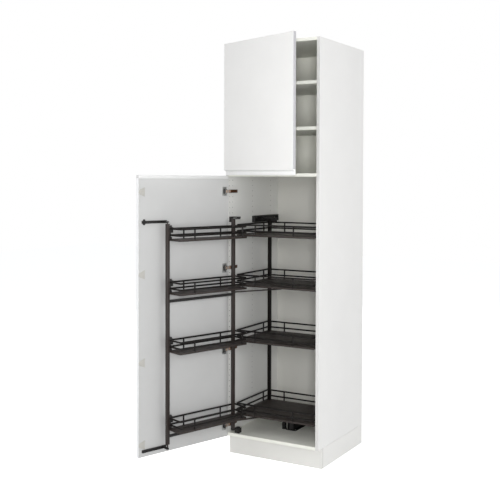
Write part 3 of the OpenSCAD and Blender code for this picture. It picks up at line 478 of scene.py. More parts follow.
# Painted shade: the rear post's copy of the wire coat, with weaker reflections.
SHADED_POST_POWDER = replace(WIRE_POWDER, name="shaded_dark_coat", shine=0.15)
BLACK_POWDER = Finish("black_powder_coat", Slot.BLACK_COAT, "191716", "141312", 40.0,
                      (0.5, 0.6), grain=1600.0, relief=0.05)
DARK_BRONZE = Finish("dark_bronze_lacquer", Slot.BRONZE_COAT, "5A3922", "44291A", 60.0,
                     (0.28, 0.42), metal=0.7, grain=1100.0, relief=0.02, stretch=(1, 3, 1))
PALE_BRONZE = replace(DARK_BRONZE, name="pale_bronze_lacquer", colour="BFA593", deep="AC9382",
                      metal=0.45)
PLATED_STEEL = Finish("plated_hinge_steel", Slot.HINGE_STEEL, "B4B5B4", "9C9D9D", 55.0,
                      (0.24, 0.36), metal=0.85, grain=1200.0, relief=0.015, stretch=(1, 1, 4))
DARK_STEEL = replace(PLATED_STEEL, name="dark_hinge_steel", colour="4C4B49", deep="3B3A38")
SCREW_METAL = Finish("zinc_screw_steel", Slot.SCREW_STEEL, "B9B9B5", "9B9A93", 90.0,
                     (0.26, 0.4), metal=0.9, grain=1500.0, relief=0.015)
BLACK_MOULDED = Finish("black_moulded_plastic", Slot.BLACK_PLASTIC, "0C0B0B", "090808", 30.0,
                       (0.38, 0.46), grain=1800.0, relief=0.03, shine=0.2)
BEIGE_MOULDED = Finish("beige_moulded_cover", Slot.BEIGE_COVER, "B6B4AE", "B1AFA9", 35.0,
                       (0.36, 0.44), grain=1500.0, relief=0.02)


class Bench:
    """Modelling tools that start from a primitive and shape it with Blender's operators."""

    @staticmethod
    def clear() -> None:
        """Deselects every object."""
        bpy.ops.object.select_all(action="DESELECT")

    @staticmethod
    def pick(*objects: Solid) -> Solid:
        """Selects only these objects and makes the first one active.

        Args:
            objects: the objects to select.

        Returns:
            The first object.
        """
        Bench.clear()
        for o in objects:
            o.select_set(True)
        bpy.context.view_layer.objects.active = objects[0]
        return objects[0]

    @staticmethod
    def keep(name: str) -> Solid:
        """Names the new primitive and puts its place into its mesh.

        Args:
            name: the piece's name.

        Returns:
            The primitive, at the origin and unscaled.
        """
        made = bpy.context.view_layer.objects.active
        made.name = made.data.name = name
        bpy.ops.object.transform_apply(location=True, rotation=True, scale=True)
        return made

    @staticmethod
    def move(piece: Solid, matrix: Matrix) -> Solid:
        """Moves a piece and puts the move into its mesh.

        Args:
            piece: the object.
            matrix: the move.

        Returns:
            The same object.
        """
        Bench.pick(piece)
        piece.matrix_world = matrix
        bpy.ops.object.transform_apply(location=True, rotation=True, scale=True)
        return piece

    @staticmethod
    def edit() -> None:
        """Opens the active mesh for editing, with all of it selected."""
        bpy.ops.object.mode_set(mode="EDIT")
        bpy.ops.mesh.select_all(action="SELECT")

    @staticmethod
    def outward() -> None:
        """Turns all faces of the mesh being edited outwards and leaves edit mode."""
        bpy.ops.mesh.select_all(action="SELECT")
        bpy.ops.mesh.normals_make_consistent(inside=False)
        bpy.ops.object.mode_set(mode="OBJECT")

    @staticmethod
    def block(name: str, low: Sequence[float], high: Sequence[float]) -> Solid:
        """Adds a box between two corners, to be shaped further.

        Args:
            name: the piece's name.
            low: lowest corner in millimetres.
            high: highest corner in millimetres.

        Returns:
            The box.
        """
        Bench.clear()
        a, b = metres(low), metres(high)
        bpy.ops.mesh.primitive_cube_add(size=1.0, location=(a + b) / 2, scale=b - a)
        return Bench.keep(name)

    @staticmethod
    def rod(
        name: str, start: Sequence[float], radius: float, length: float,
        axis: Axis = Axis.Z, sides: int = 32,
    ) -> Solid:
        """Adds a round bar from a point along an axis, to be shaped further.

        Args:
            name: the piece's name.
            start: centre of its first end in millimetres.
            radius: radius in millimetres.
            length: length in millimetres.
            axis: the axis that it lies along.
            sides: number of flats round it.

        Returns:
            The bar.
        """
        Bench.clear()
        along = Vector(axis.place(0.0, 0.0, 1.0))
        turn = {Axis.X: (0, math.pi / 2, 0), Axis.Y: (-math.pi / 2, 0, 0), Axis.Z: (0, 0, 0)}
        bpy.ops.mesh.primitive_cylinder_add(
            vertices=sides, radius=radius * MM, depth=length * MM,
            location=metres(start) + along * (length * MM / 2), rotation=turn[axis])
        return Bench.keep(name)

    @staticmethod
    def lay_out(name: str, points: Sequence[Vector], fill_type: str) -> Solid:
        """Adds a circle, lays its points on an outline and opens it for editing.

        Args:
            name: the piece's name.
            points: points of the closed outline in metres.
            fill_type: NGON for a face, NOTHING for the line alone.

        Returns:
            The outline, in edit mode.
        """
        Bench.clear()
        bpy.ops.mesh.primitive_circle_add(vertices=len(points), radius=1.0, fill_type=fill_type)
        made = Bench.keep(name)
        for vertex, point in zip(made.data.vertices, points):
            vertex.co = point
        Bench.edit()
        return made

    @staticmethod
    def profile(
        name: str, outline: Sequence[Pair], axis: Axis, start: float, end: float
    ) -> Solid:
        """Draws an outline out along an axis.

        Args:
            name: the piece's name.
            outline: points of the closed outline in millimetres.
            axis: the axis that it is drawn along.
            start: where it begins on the axis.
            end: where it ends on the axis.

        Returns:
            The closed solid.
        """
        made = Bench.lay_out(name, [metres(axis.place(a, b, start)) for a, b in outline], "NGON")
        bpy.ops.mesh.extrude_region_move(
            TRANSFORM_OT_translate={"value": metres(axis.place(0.0, 0.0, end - start))})
        Bench.outward()
        return made

    @staticmethod
    def lathe(
        name: str, outline: Sequence[Pair], centre: Sequence[float], axis: Axis, steps: int = 40
    ) -> Solid:
        """Turns an outline round an axis.

        Args:
            name: the piece's name.
            outline: points as radius and distance along the axis, in millimetres.
            centre: the point that the distances start from.
            axis: the axis that it is turned about.
            steps: number of steps round it.

        Returns:
            The closed solid.
        """
        middle = metres(centre)
        points = [metres(axis.place(r, 0.0, along)) + middle for r, along in outline]
        made = Bench.lay_out(name, points, "NOTHING")
        bpy.ops.mesh.spin(
            steps=steps, angle=2 * math.pi, center=middle, axis=axis.place(0, 0, 1))
        bpy.ops.mesh.select_all(action="SELECT")
        bpy.ops.mesh.remove_doubles(threshold=MERGE)
        bpy.ops.mesh.delete_loose()
        Bench.outward()
        return made

    @staticmethod
    def wire(name: str, path: Sequence[Sequence[float]], radius: float, closed: bool) -> Solid:
        """Makes a round wire along a path.

        Args:
            name: the piece's name.
            path: points of its middle line in millimetres.
            radius: radius in millimetres.
            closed: whether its ends meet.

        Returns:
            The wire as a closed mesh.
        """
        curve = bpy.data.curves.new(name, "CURVE")
        curve.dimensions = "3D"
        curve.bevel_depth = radius * MM
        curve.bevel_resolution = WIRE_STEPS
        curve.use_fill_caps = True
        line = curve.splines.new("POLY")
        line.points.add(len(path) - 1)
        for point, p in zip(line.points, path):
            point.co = (*metres(p), 1.0)
        line.use_cyclic_u = closed
        made = bpy.data.objects.new(name, curve)
        bpy.context.scene.collection.objects.link(made)
        Bench.pick(made)
        bpy.ops.object.convert(target="MESH")
        made = bpy.context.view_layer.objects.active
        Bench.edit()
        bpy.ops.mesh.remove_doubles(threshold=MERGE)
        Bench.outward()
        return made

    @staticmethod
    def apply(piece: Solid, kind: str, **values: object) -> Solid:
        """Adds a modifier, sets it and applies it.

        Args:
            piece: the object that it shapes.
            kind: Blender's name of the modifier.
            values: its settings.

        Returns:
            The same object.
        """
        Bench.pick(piece)
        modifier = piece.modifiers.new(kind.title(), kind)
        for name, value in values.items():
            setattr(modifier, name, value)
        bpy.ops.object.modifier_apply(modifier=modifier.name)
        return piece

    @staticmethod
    def ease(piece: Solid, width: float, segments: int = 2, angle: float = 35.0) -> Solid:
        """Rounds the sharp edges of a piece.

        Args:
            piece: the object.
            width: width of the rounding in millimetres.
            segments: number of steps over it.
            angle: edges sharper than this many degrees are rounded.

        Returns:
            The same object.
        """
        return Bench.apply(piece, "BEVEL", width=width * MM, segments=segments,
                           limit_method="ANGLE", angle_limit=math.radians(angle),
                           use_clamp_overlap=True)

    @staticmethod
    def cut(piece: Solid, *tools: Solid) -> Solid:
        """Takes the tools' shapes out of a piece and removes the tools.

        Args:
            piece: the object that is cut.
            tools: the closed shapes to take out.

        Returns:
            The same object.
        """
        for tool in tools:
            Bench.apply(piece, "BOOLEAN", operation="DIFFERENCE", solver="EXACT", object=tool)
            bpy.data.objects.remove(tool)
        return piece

    @staticmethod
    def join(name: str, parts: Sequence[Solid]) -> Solid:
        """Joins closed shapes into one object.

        Args:
            name: the new object's name.
            parts: the shapes.

        Returns:
            The joined object.
        """
        whole = Bench.pick(*parts)
        if len(parts) > 1:
            bpy.ops.object.join()
        whole.name = whole.data.name = name
        return whole

    @staticmethod
    def copies(name: str, piece: Solid, heights: Sequence[float]) -> Solid:
        """Copies a piece to several heights and joins the copies.

        Args:
            name: the joined object's name.
            piece: the piece as it stands at height zero, which is used up.
            heights: how far each copy is raised, in millimetres.

        Returns:
            The joined object.
        """
        parts = []
        for z in heights:
            Bench.pick(piece)
            bpy.ops.object.duplicate(linked=False)
            copy = bpy.context.view_layer.objects.active
            parts.append(Bench.move(copy, Matrix.Translation(metres((0, 0, z)))))
        bpy.data.objects.remove(piece)
        return Bench.join(name, parts)

    @staticmethod
    def settle(
        piece: Solid, mount: Mount, finish: Finish, node: str, smooth: float = 35.0
    ) -> Solid:
        """Puts a finished piece on its body, with its finish, in place of its node.

        Args:
            piece: the piece in closed cabinet metres.
            mount: the body and placement.
            finish: its surface.
            node: the frame's node that it stands for.
            smooth: edges flatter than this many degrees are shaded smooth.

        Returns:
            The same object.
        """
        Bench.move(piece, mount.matrix())
        bpy.ops.object.shade_smooth_by_angle(angle=math.radians(smooth))
        piece.data.materials.clear()
        piece.data.materials.append(finish.material())
        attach(piece, mount.body)
        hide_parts(node)
        LOG.info("%s: %d faces on %s", piece.name, len(piece.data.polygons), mount.body)
        return piece

    @staticmethod
    def dress(nodes: Sequence[str], finish: Finish, ease: float = 0.0) -> None:
        """Gives carried-over nodes their finish and, where asked, eased edges.

        Args:
            nodes: the nodes' names.
            finish: their surface.
            ease: width of the rounding of their sharp edges in millimetres.
        """
        for node in nodes:
            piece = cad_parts[node]
            for place in piece.material_slots:
                place.material = finish.material()
            if not piece.material_slots:
                piece.data.materials.append(finish.material())
            if ease:
                piece.modifiers.new("Weld", "WELD").merge_threshold = MERGE
                bevel = piece.modifiers.new("Bevel", "BEVEL")
                bevel.width = ease * MM
                bevel.segments = 2
                bevel.limit_method = "ANGLE"
                bevel.angle_limit = math.radians(SHARP)
                piece.modifiers.new("Weighted", "WEIGHTED_NORMAL")
            LOG.info("%s: carried over, %s", node, finish.name)


@dataclass(frozen=True)
class ScrewHead:
    """A low domed screw head with a cross recess.

    Args:
        radius: its radius.
        height: its height.
        dome: points of its side, as shares of the radius and the height.
        cross: half width and half height of the two slots, as shares of the radius.
        deepest: greatest depth of the slots.
    """

    radius: float
    height: float
    dome: tuple[Pair, ...] = ((1.0, 0.0), (1.0, 0.5), (0.86, 0.86), (0.5, 1.0))
    cross: tuple[Pair, ...] = ((0.62, 0.13), (0.13, 0.62))
    deepest: float = 1.2

    def make(self, place: Triple, axis: Axis) -> Solid:
        """Makes a head.

        Args:
            place: middle of its underside.
            axis: the axis that it faces along.

        Returns:
            The head.
        """
        r, h = self.radius, self.height
        side = [(0, 0), *((r * wide, h * high) for wide, high in self.dome), (0, h)]
        head = Bench.lathe("head", side, place, axis, 24)
        floor = h - min(h * 0.5, self.deepest)
        for wide, high in self.cross:
            low = axis.place(-r * wide, -r * high, floor)
            top = axis.place(r * wide, r * high, h + 1)
            slot = Bench.block("slot", [a + b for a, b in zip(place, low)],
                               [a + b for a, b in zip(place, top)])
            Bench.cut(head, slot)
        return head


@dataclass
class Carcass:
    """The box of panels, shelves, plinth and legs, which keeps the frame's own shapes."""

    sides: tuple[str, ...] = ("left_side_panel", "right_side_panel")
    inside: tuple[str, ...] = ("top_panel", "bottom_panel", "middle_panel", "upper_back_panel",
                               "lower_shelf", "upper_shelf")
    plinth: tuple[str, ...] = ("plinth_left", "plinth_right")
    metal: tuple[str, ...] = ("shelf_pins", "wall_plates")
    plastic: tuple[str, ...] = ("leg_sockets", "leg_feet", "plinth_clips")
    edge: float = 0.5

    def build(self) -> None:
        """Dresses the panels, the plinth and the small parts."""
        for node in self.sides:
            Bench.dress([node], BORED_COAT.of_node(node))
        Bench.dress(self.inside, INSIDE_COAT)
        Bench.dress(["lower_back_panel"], SHADED_LOWER_BACK.of_node("lower_back_panel"))
        Bench.dress(["plinth_front"], SHADED_PLINTH_FACE, self.edge)
        Bench.dress(self.plinth, PLINTH_COAT, self.edge)
        Bench.dress(self.metal, PLATED_STEEL)
        Bench.dress(self.plastic, BLACK_MOULDED)


@dataclass
class Doors:
    """The two doors with their grip and strip profiles."""

    grip_h: float = 27.5
    grip_lip: float = 2.5
    grip_d: float = 14.5
    strip_h: float = 16.0
    strip_r: float = 3.0
    chamfer: float = 0.8
    panel_edge: float = 1.2
    profile_edge: float = 0.5
    end_step: float = 0.5
    smooth: float = 30.0
    facing: float = 0.98

    def build(self) -> None:
        """Makes both panels and both profiles."""
        self.panel("upper_door", UPPER_DOOR,
                   (SPLIT_Z + REVEAL + self.grip_h + self.grip_lip, TOP_Z - REVEAL),
                   UPPER_HINGES, SHADED_DOOR_EDGE)
        self.panel("lower_door", LOWER_DOOR,
                   (PLINTH_H + REVEAL, SPLIT_Z - REVEAL - self.strip_h), LOWER_HINGES, LIT_EDGE)
        for name, outline, mount, finish, node in (
                ("grip_profile", self.grip(), UPPER_DOOR, STRIP_COAT, "upper_door_grip"),
                ("door_top_strip", self.strip(), LOWER_DOOR, SHADED_TOP_STRIP, "lower_door_strip")):
            piece = Bench.profile(name, outline, Axis.X, DOOR_X[0] + self.end_step,
                                  DOOR_X[1] - self.end_step)
            Bench.settle(Bench.ease(piece, self.profile_edge), mount, finish, node, self.smooth)

    def panel(
        self, door: str, mount: Mount, span: Pair, hinges: Sequence[float], painted_free_edge: Finish
    ) -> None:
        """Makes a door panel with bores for its hinge cups, painted shade on its back and painted
        light on its free edge.

        Args:
            door: the door's name, with which its piece and its node start.
            mount: its body.
            span: heights of its lower and upper edge.
            hinges: heights of the bores.
            painted_free_edge: surface of the edge away from the hinges, carrying that door's
                painted light.
        """
        leaf = Bench.block(f"{door}_leaf", (DOOR_X[0], DOOR_OUT, span[0]),
                           (DOOR_X[1], DOOR_IN, span[1]))
        Bench.ease(leaf, self.panel_edge, 4)
        for x in (CUP_X, CAB_W - CUP_X):
            bore = Bench.rod("bore", (x, DOOR_IN - BORE_DEEP, 0), BORE_R, BORE_DEEP + 1, Axis.Y,
                             BORE_SIDES)
            Bench.cut(leaf, Bench.copies("bores", bore, hinges))
        Bench.settle(leaf, mount, WHITE_COAT, f"{door}_panel")
        leaf.data.materials.append(SHADED_DOOR_BACK.material())
        leaf.data.materials.append(painted_free_edge.material())
        turn = mount.matrix().to_3x3()
        inward, edgeways = turn @ Vector((0, 1, 0)), turn @ Vector((1, 0, 0))
        # Painted light by face: the back faces take the painted shade, the free edge this door's
        # painted shade or painted highlight.
        for face in leaf.data.polygons:
            if face.normal.dot(inward) > self.facing:
                face.material_index = 1
            elif face.normal.dot(edgeways) > self.facing:
                face.material_index = 2

    def grip(self) -> list[Pair]:
        """Draws the profile with the finger recess under the upper door.

        Returns:
            Its outline.
        """
        low = SPLIT_Z + REVEAL
        high = low + self.grip_h
        top = high + self.grip_lip
        nose = DOOR_OUT + self.grip_d
        return [(DOOR_IN, low + self.chamfer), (DOOR_IN, top), (DOOR_OUT, top),
                *arc((DOOR_OUT, high - self.grip_d), self.grip_d, 90, 0, 24),
                (nose, low + self.chamfer), (nose + self.chamfer, low),
                (DOOR_IN - self.chamfer, low)]

    def strip(self) -> list[Pair]:
        """Draws the strip with round edges on top of the lower door.

        Returns:
            Its outline.
        """
        top, r = SPLIT_Z - REVEAL, self.strip_r
        return [(DOOR_OUT, top - self.strip_h), (DOOR_IN, top - self.strip_h),
                *arc((DOOR_IN - r, top - r), r, 0, 90, 8),
                *arc((DOOR_OUT + r, top - r), r, 90, 180, 8)]


@dataclass
class Basket:
    """A basket of two wires and uprights over a tray with a rim.

    Args:
        node: the node that it stands for, and the start of its pieces' names.
        mount: its body.
        plan: lowest and highest corner of its wires.
        top: height of its top wire.
        uprights: places of its uprights.
        post: lowest and highest corner of the post that it is notched round.
        hung: whether the wires end at the post instead of passing it.
        play: gap between the tray or a wire's end and the post.
        wire_r: radius of the two wires.
        upright_r: radius of the uprights.
        corner: radius of the wires' corners.
        over: how far the tray reaches past the wires.
        tray_corner: radius of the tray's corners.
        height: height of the top wire above the tray's underside.
        mid: height of the middle wire above the tray's underside.
        rim: height of the tray's rim.
        sheet: thickness of the tray's floor and rim.
        tray_edge: rounding of the tray's edges.
        hook_x: where the plate at the rear post starts and ends, from the post's middle.
        hook_h: how far that plate reaches below the top wire.
        hook_edge: rounding of its edges.
    """

    node: str
    mount: Mount
    plan: tuple[Pair, Pair]
    top: float
    uprights: Sequence[Pair]
    post: tuple[Pair, Pair]
    hung: bool
    play: float = 0.3
    wire_r: float = 4.8
    upright_r: float = 4.3
    corner: float = 10.0
    over: float = 4.0
    tray_corner: float = 8.0
    height: float = 66.0
    mid: float = 31.0
    rim: float = 10.0
    sheet: float = 1.6
    tray_edge: float = 0.7
    hook_x: Pair = (-4.0, 8.0)
    hook_h: float = 29.0
    hook_edge: float = 1.0

    def build(self) -> None:
        """Makes the wires and the tray."""
        wires = [self.ring(self.top), self.ring(self.top - self.height + self.mid)]
        foot = self.top - self.height + self.sheet / 2
        for i, (x, y) in enumerate(self.uprights):
            wires.append(Bench.wire(f"upright_{i}", [(x, y, foot), (x, y, self.top)],
                                    self.upright_r, False))
        if not self.hung:
            wires.append(self.hook())
        cage = Bench.join(f"{self.node}_wires", wires)
        Bench.settle(cage, self.mount, WIRE_POWDER, self.node)
        Bench.settle(self.tray(), self.mount, DARK_POWDER, self.node)

    def ring(self, z: float) -> Solid:
        """Makes one wire round the basket.

        Args:
            z: its height.

        Returns:
            The wire, open where the basket hangs on its post.
        """
        path = rounded(*self.plan, self.corner, 8)
        if self.hung:
            start, end = self.post[1][0] + self.play, self.post[0][0] - self.play
            y = self.plan[0][1]
            passed = [p for p in path if p[0] > end or p[1] > y + 1]
            path = [(start, y), *sorted(passed, key=self.bearing), (end, y)]
        return Bench.wire("ring", [(x, y, z) for x, y in path], self.wire_r, not self.hung)

    def bearing(self, p: Pair) -> float:
        """Returns the angle of a point about the basket's middle, from its low side onwards."""
        x, y = ((a + b) / 2 for a, b in zip(*self.plan))
        return (math.atan2(p[1] - y, p[0] - x) + math.pi / 2) % (2 * math.pi)

    def hook(self) -> Solid:
        """Makes the plate that joins the back wires to the rear post.

        Returns:
            The plate.
        """
        (x0, _), (x1, y1) = self.post
        x = (x0 + x1) / 2
        plate = Bench.block("hook", (x + self.hook_x[0], y1, self.top - self.hook_h),
                            (x + self.hook_x[1], self.plan[1][1] - 1, self.top + 1))
        return Bench.ease(plate, self.hook_edge)

    def tray(self) -> Solid:
        """Makes the tray by raising its plan, insetting the top and sinking the floor.

        Returns:
            The tray, notched round the post.
        """
        z0 = self.top - self.height
        low, high = self.widened(self.plan, self.over)
        tray = Bench.profile(f"{self.node}_tray", rounded(low, high, self.tray_corner), Axis.Z,
                             z0, z0 + self.rim)
        Bench.pick(tray)
        bpy.ops.object.mode_set(mode="EDIT")
        mesh = bmesh.from_edit_mesh(tray.data)
        for face in mesh.faces:
            face.select = face.normal.z > 0.9
        mesh.select_flush_mode()
        bmesh.update_edit_mesh(tray.data)
        bpy.ops.mesh.inset(thickness=self.sheet * MM, depth=0.0)
        bpy.ops.mesh.extrude_region_move(
            TRANSFORM_OT_translate={"value": (0, 0, -(self.rim - self.sheet) * MM)})
        Bench.outward()
        Bench.ease(tray, self.tray_edge)
        low, high = self.widened(self.post, self.play)
        return Bench.cut(tray, Bench.block("notch", (*low, z0 - 2), (*high, self.top)))

    @staticmethod
    def on_sides(plan: tuple[Pair, Pair], rows: Sequence[Sequence[float]]) -> list[Pair]:
        """Returns the places of uprights at given x on a plan's near and far side."""
        return [(x, corner[1]) for corner, row in zip(plan, rows) for x in row]

    @staticmethod
    def widened(plan: tuple[Pair, Pair], by: float) -> tuple[Pair, Pair]:
        """Returns a plan's corners with every side moved outwards."""
        (x0, y0), (x1, y1) = plan
        return (x0 - by, y0 - by), (x1 + by, y1 + by)


@dataclass
class FrontFrame:
    """The frame that swings out with the lower door.

    Its sizes stand in the order of its pieces: posts, baskets, slots of the near post, lugs of the
    links, pins and basket clips of the far post, and crossbars.
    """

    post: float = 18.0
    post_y: float = 44.8
    post_corner: float = 2.0
    edge: float = 0.6
    near_x: float = 122.0
    near_z: Pair = (174.0, 1385.0)
    far_x: float = 573.5
    far_z: Pair = (171.0, 1374.0)
    levels: tuple[float, ...] = (312.0, 739.0, 1056.0, 1347.0)
    plan: tuple[Pair, Pair] = ((108.5, 40.8), (560.0, 148.8))
    upright_x: tuple[Pair, Pair] = ((211.0, 465.0), (137.0, 467.0))
    slot_pitch: float = 32.0
    slot_half: float = 3.0
    slot_h: float = 12.0
    slot_corner: float = 2.9
    slot_deep: float = 1.5
    link_pin: Pair = (131.0, 62.8)
    link_levels: tuple[float, ...] = (963.8, 217.5)
    lug_r: float = 9.0
    lug_t: float = 4.0
    lug_play: float = 0.3
    lug_pin_r: float = 3.95
    lug_pin_h: float = 12.3
    pin_r: float = 4.0
    top_pin: float = 6.0
    low_pin: Pair = (151.6, 20.4)
    pin_sides: int = 28
    clip_half: float = 8.0
    clip_lap: float = 0.6
    clip_teeth: tuple[Triple, ...] = (
        (14.0, 18.0, 9.0), (23.0, 9.0, 3.0), (11.0, 3.0, -4.0), (22.0, -4.0, -22.0),
        (8.0, -22.0, -44.0), (14.0, -44.0, -58.0))
    bar_levels: Pair = (944.5, 208.0)
    bar_half: float = 5.0
    bar_h: float = 15.0
    bar_corner: float = 2.2

    def build(self) -> None:
        """Makes the posts, crossbars and baskets and dresses the arms."""
        self.near_post()
        self.far_post()
        self.crossbars()
        Bench.dress(("top_swing_arm", "bottom_swing_arm"), BLACK_POWDER, self.edge)
        uprights = Basket.on_sides(self.plan, self.upright_x)
        for i, top in enumerate(self.levels):
            Basket(f"front_basket_{i + 1}", FRONT_FRAME, self.plan, top, uprights,
                   self.section(self.near_x), True).build()

    def section(self, x: float) -> tuple[Pair, Pair]:
        """Returns the lowest and highest corner of the post whose middle is at x."""
        h = self.post / 2
        return (x - h, self.post_y - h), (x + h, self.post_y + h)

    def bar(self, x: float, span: Pair) -> Solid:
        """Makes a post with round edges.

        Args:
            x: its middle.
            span: heights of its ends.

        Returns:
            The post.
        """
        outline = rounded(*self.section(x), self.post_corner, 5)
        return Bench.ease(Bench.profile("post", outline, Axis.Z, *span), self.edge)

    def near_post(self) -> None:
        """Makes the near post with its row of slots and the lugs of the links."""
        post = self.bar(self.near_x, self.near_z)
        face = self.near_x + self.post / 2
        low, top = self.near_z
        outline = rounded((self.post_y - self.slot_half, 0),
                          (self.post_y + self.slot_half, self.slot_h), self.slot_corner, 5)
        slot = Bench.profile("slot", outline, Axis.X, face - self.slot_deep, face + 3)
        count = int((top - low) / self.slot_pitch) - 1
        heights = [low + self.slot_pitch * (i + 1) for i in range(count)]
        Bench.cut(post, Bench.copies("slots", slot, heights))
        parts = [post]
        for z in self.link_levels:
            parts += self.lug(z)
        Bench.settle(Bench.join("near_post", parts), FRONT_FRAME, DARK_POWDER, "front_post_b")

    def lug(self, z: float) -> list[Solid]:
        """Makes the lug and pin under a link.

        Args:
            z: height of the link's underside.

        Returns:
            The lug and its pin.
        """
        x, y = self.link_pin
        root = self.post_y + 6
        top, r = z - self.lug_play, self.lug_r
        outline = [(x + r, root), *arc((x, y), r, 0, 180, 16), (x - r, root)]
        plate = Bench.profile("lug", outline, Axis.Z, top - self.lug_t, top)
        r, h = self.lug_pin_r, self.lug_pin_h
        pin = Bench.lathe("pin", [(0, 0), (r, 0), (r, h - 0.8), (r - 0.75, h), (0, h)],
                          (x, y, z - 3.8), Axis.Z, self.pin_sides)
        return [Bench.ease(plate, 0.5), pin]

    def far_post(self) -> None:
        """Makes the far post with the pins of the sliders, and clips that hold the baskets."""
        parts = [self.bar(self.far_x, self.far_z)]
        clips = [self.clip(top) for top in self.levels]
        Bench.settle(Bench.join("basket_clips", clips), FRONT_FRAME, BLACK_POWDER,
                     "front_post_a")
        for z, length in ((self.far_z[1] - 1, self.top_pin), self.low_pin):
            parts.append(Bench.lathe("pin", pin_side(self.pin_r, length, 0.6, 0.8),
                                     (self.far_x, self.post_y, z), Axis.Z, self.pin_sides))
        Bench.settle(Bench.join("far_post", parts), FRONT_FRAME, DARK_POWDER, "front_post_a")

    def clip(self, top: float) -> Solid:
        """Makes the toothed clip that holds a basket's end wires and tray to the far post.

        Args:
            top: height of the basket's top wire.

        Returns:
            The clip.
        """
        face = self.far_x - self.post / 2
        back = face + self.clip_lap
        side = [(back, top + self.clip_teeth[0][1])]
        for out, upper, lower in self.clip_teeth:
            side += [(face - out, top + upper), (face - out, top + lower)]
        side.append((back, top + self.clip_teeth[-1][2]))
        clip = Bench.profile("clip", side, Axis.Y, self.post_y - self.clip_half,
                             self.post_y + self.clip_half)
        return Bench.ease(clip, 0.9, 3)

    def crossbars(self) -> None:
        """Makes the two crossbars with round edges."""
        for node, z in zip(("middle_crossbar", "bottom_crossbar"), self.bar_levels):
            outline = rounded((self.post_y - self.bar_half, z),
                              (self.post_y + self.bar_half, z + self.bar_h), self.bar_corner, 5)
            bar = Bench.profile(f"{node}_bar", outline, Axis.X, self.near_x + self.post / 2,
                                self.far_x - self.post / 2)
            Bench.settle(bar, FRONT_FRAME, BLACK_POWDER, node)


@dataclass
class RearFrame:
    """The frame behind, of one post, its arms and four baskets."""

    post: tuple[Pair, Pair] = ((59.0, 384.25), (77.0, 404.25))
    post_z: Pair = (213.0, 1369.0)
    post_corner: float = 2.0
    edge: float = 0.6
    levels: tuple[float, ...] = (300.0, 731.0, 1057.0, 1350.0)
    plan: tuple[Pair, Pair] = ((51.0, 41.0), (560.0, 409.0))
    upright_x: tuple[Pair, Pair] = ((176.0, 427.0), (166.0, 427.0))
    end_upright_y: float = 350.0

    def build(self) -> None:
        """Makes the post and baskets and dresses the arms."""
        post = Bench.profile("rear_upright_post", rounded(*self.post, self.post_corner, 5),
                             Axis.Z, *self.post_z)
        Bench.settle(Bench.ease(post, self.edge), REAR_FRAME, SHADED_POST_POWDER, "rear_post")
        Bench.dress(("top_carriage", "base_arm", "link_bracket"), BLACK_POWDER, self.edge)
        uprights = Basket.on_sides(self.plan, self.upright_x)
        uprights.append((self.plan[0][0], self.end_upright_y))
        for i, top in enumerate(self.levels):
            Basket(f"rear_basket_{i + 1}", REAR_FRAME, self.plan, top, uprights, self.post,
                   False).build()


